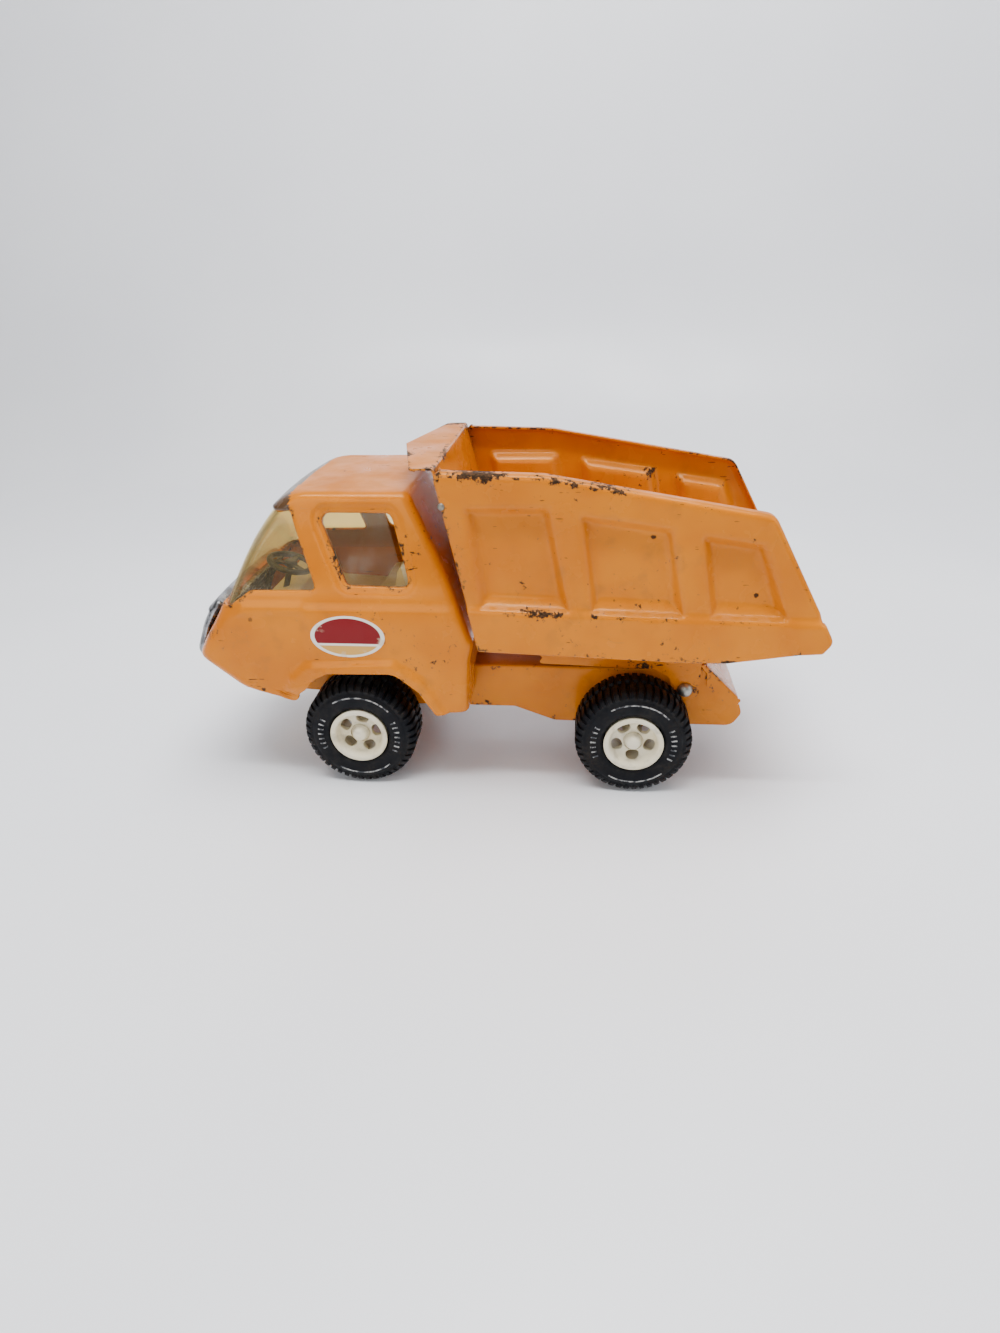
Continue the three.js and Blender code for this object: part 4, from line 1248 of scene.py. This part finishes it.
def bed_floor(paint):
    x = np.append(np.arange(FLOOR_LINE[0, 0], FLOOR_LINE[-1, 0], 3), FLOOR_LINE[-1, 0])
    z = sum(np.interp(x + k, *FLOOR_LINE.T) for k in (-3, 0, 3)) / 3
    rows = [xyz(x, inward - FLOOR_HALF, z + lift) for inward, lift in FLOOR_EDGE]
    for y in np.linspace(-54, 54, 28):
        rows.append(xyz(x, y, z + 0.25 * math.sin(y * 0.09) * np.sin(x * 0.05)))
    rows += [xyz(x, FLOOR_HALF - inward, z + lift) for inward, lift in FLOOR_EDGE[::-1]]
    shell = Shell()
    shell.grid(rows, flip=True)
    piece("bed_floor_sheet", shell, [paint], "bed", ["bed_floor"], thick=SHEET)


VISOR_TOP = 174.2
VISOR_HEM = [(0.9, 1.5), (0.25, 1.2), (0.0, 0.6), (0.15, 0.15), (0.7, 0.0)]  # distance back, and drop
WALL_TOP = 49.4
WALL_FOOT = np.array([69.0, 86.2])


def bed_front(paint):
    """The leaning front wall of the bed and the visor that carries on from it over the cab."""
    y = np.unique(np.concatenate([np.linspace(-58.2, 58.2, 49), [-56, 56, 0]]))
    lip_x = 25.6 + (37.9 - 25.6) * np.clip(np.abs(y) / 56, 0, 1)
    lip_x = lip_x + 2.4 * np.clip((np.abs(y) - 56) / 2.2, 0, 1)
    rows = [xyz(lip_x + out, y, VISOR_TOP - drop) for out, drop in VISOR_HEM]
    bend = WALL_TOP - 1.2
    for share in np.linspace(0.08, 1, 9):
        rows.append(xyz(lip_x + 0.7 + (bend - lip_x - 0.7) * share, y, VISOR_TOP))
    radius = 1.6
    for turn in np.radians([20, 40, 60, 77]):
        rows.append(xyz(bend + radius * math.sin(turn), y, VISOR_TOP - radius * (1 - math.cos(turn))))
    start = rows[-1][0][[0, 2]]
    for share in np.linspace(0.04, 1, 26):
        x, z = start + (WALL_FOOT - start) * share
        wider = 1 + 0.042 * smoothstep(109.5, 106.5, z)  # to meet the sides' lower band
        rows.append(xyz(x, y * wider, z))
    shell = Shell()
    shell.grid(rows, flip=True)
    piece("bed_bulkhead", shell, [paint], "bed", ["bed_front_panel"], thick=SHEET)


def rivet(name, steel, place, radius, tall, body, node):
    """A domed head that points along -Y before the 4x4 matrix places it."""
    profile = [(0.01, tall), (radius * 0.5, tall * 0.93), (radius * 0.85, tall * 0.6), (radius, 0.1),
               (radius, 0)]
    head = Shell()
    lathe(head, [(r, -d) for r, d in profile], (0, 0), 24)
    piece(name, head.placed(place), [steel], body, [node])


def fasteners(steel):
    for side, name in SIDES:
        outward = Matrix.Rotation(math.pi, 4, "Z") if side < 0 else Matrix.Identity(4)
        place = Matrix.Translation((52.6, -side * BED_HALF, 157.3)) @ outward
        rivet(f"rim_rivet_{name}", steel, place, 1.7, 0.75, "bed", f"bed_rivet_upper_{name}")
    upward = Matrix.Rotation(-math.pi / 2, 4, "X")
    for _, name in SIDES:
        low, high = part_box(f"cab_rivet_{name}")
        middle = (low + high) / 2 / MM
        place = Matrix.Translation((middle.x - ORIGIN_X / MM, middle.y, 62.2)) @ upward
        rivet(f"deck_rivet_{name}", steel, place, 3.0, 1.2, "chassis", f"cab_rivet_{name}")


def decals():
    low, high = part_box("decal_left")
    centre = ((low.x + high.x) / 2, (low.z + high.z) / 2)
    size = ((high.x - low.x) / 2, (high.z - low.z) / 2)
    look = sticker(centre, size)
    loop = oval((centre[0] - ORIGIN_X) / MM, centre[1] / MM, size[0] / MM, size[1] / MM, 90)

    def surface(x, z):
        return cab_point(cab_pattern(x, z), z, inset=-0.12, bump=cab_bump)

    for side, name in SIDES:
        shell = panel(Shell(), surface, (loop, None), spacing=2.5)
        piece(f"label_{name}", shell.on_side(side), [look], "chassis", [f"decal_{name}"],
              thick=0.1)


# Stage ----------------------------------------


FLOOR_END = 0.55  # where, in metres, the floor begins to curve up
CURVE_R = 0.25
SKY = (0.93, 0.96, 1, 1)
SKY_STRENGTH = 0.32


def stage():
    """A pale floor that curves up into a backdrop."""
    profile = [(distance, 0.0) for distance in np.linspace(-1.5, FLOOR_END, 12)]
    for turn in np.radians(np.linspace(6, 84, 14)):
        profile.append((FLOOR_END + CURVE_R * math.sin(turn), CURVE_R * (1 - math.cos(turn))))
    profile += [(FLOOR_END + CURVE_R, CURVE_R), (FLOOR_END + CURVE_R, 1.8)]
    shell = Shell()
    shell.grid([xyz(np.linspace(-2.5, 2.5, 9), y, z) for y, z in profile])
    mesh = bpy.data.meshes.new("floor")
    mesh.from_pydata(shell.points, [], shell.faces)
    mesh.shade_smooth()
    mesh.materials.append(floor_paint())
    floor = bpy.data.objects.new("floor", mesh)
    bpy.context.scene.collection.objects.link(floor)
    floor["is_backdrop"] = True


def area_light(name, place, target, size, power, colour=(1, 1, 1)):
    data = bpy.data.lights.new(name, "AREA")
    data.shape = "RECTANGLE"
    data.size, data.size_y = size
    data.energy = power
    data.color = colour
    light = bpy.data.objects.new(name, data)
    light.location = place
    light.rotation_euler = (Vector(target) - Vector(place)).to_track_quat("-Z", "Y").to_euler()
    bpy.context.scene.collection.objects.link(light)


def lights():
    area_light("ceiling", (0.05, -0.05, 1.25), (0, 0.02, 0), (1.2, 0.7), 24)
    area_light("tube", (0.0, -0.35, 1.15), (0, 0, 0.05), (1.2, 0.06), 7)
    area_light("front_fill", (-0.6, -1.6, 0.8), (0, 0, 0.08), (1.2, 1.0), 10, (1, 0.98, 0.95))
    area_light("side_window", (1.6, -0.5, 0.9), (0, 0, 0.08), (0.8, 1.2), 7, (0.93, 0.97, 1))
    world = bpy.data.worlds.new("soft")
    world.use_nodes = True
    sky = world.node_tree.nodes["Background"].inputs
    sky["Color"].default_value = SKY
    sky["Strength"].default_value = SKY_STRENGTH
    bpy.context.scene.world = world


def main():
    place_camera()
    stage()
    lights()
    paint = enamel()
    chrome = plated("aged_chrome", (0.16, 0.16, 0.165), (0.38, 0.38, 0.39), 0.2)
    nickel = plated("nickel", (0.20, 0.20, 0.18), (0.44, 0.44, 0.40), 0.34)
    steel = plated("dull_steel", (0.09, 0.08, 0.06), (0.26, 0.24, 0.20), 0.35)
    dark = plastic("recess_black", (0.02, 0.02, 0.022), (0.08, 0.07, 0.06), 0.5)
    lens = plated("lamp_silver", (0.45, 0.45, 0.45), (0.8, 0.8, 0.8), 0.12)
    cream = plastic("hub_cream", (0.78, 0.72, 0.56), (0.30, 0.25, 0.17))
    seat = plastic("seat_cream", (0.74, 0.68, 0.52), (0.35, 0.28, 0.18), amount=0.3)
    slate = plastic("slate", (0.012, 0.017, 0.021), (0.05, 0.045, 0.04), 0.4)
    tread = rubber()
    mark = worn_mark()

    # The header strip's dark brown plastic is a painted reflection of the dark room, not a real smoked
    # part.
    cab_shell(paint, plastic("painted_dark_reflection", (0.075, 0.038, 0.016), (0.16, 0.10, 0.06), 0.22))
    cab_glass(tinted_glass())
    grille(chrome, dark, lens)
    interior(seat)
    steering(slate)
    chassis(paint)
    tail(paint)
    bracket(paint)
    hinge(nickel, steel)
    for end, x, start in (("front", 0.0, -64), ("rear", WHEELBASE, -90)):
        body = f"{end}_wheels"
        rod(f"{end}_rod", steel, AXLE_R, AXLE_HALF, 0.5, 0.6, (x, TYRE_R), body, f"{end}_axle")
        for side, label in SIDES:
            tyre(x, side, tread, mark, f"tread_{end}_{label}", body)
            hub(x, side, cream, f"wheel_{end}_{label}", body, start)
    for side, label in SIDES:
        bed_side(paint, side, label)
    bed_floor(paint)
    bed_front(paint)
    fasteners(steel)
    decals()


main()
boxes = [[list(corner) for corner in pair] for pair in (CAD_BOX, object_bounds())]
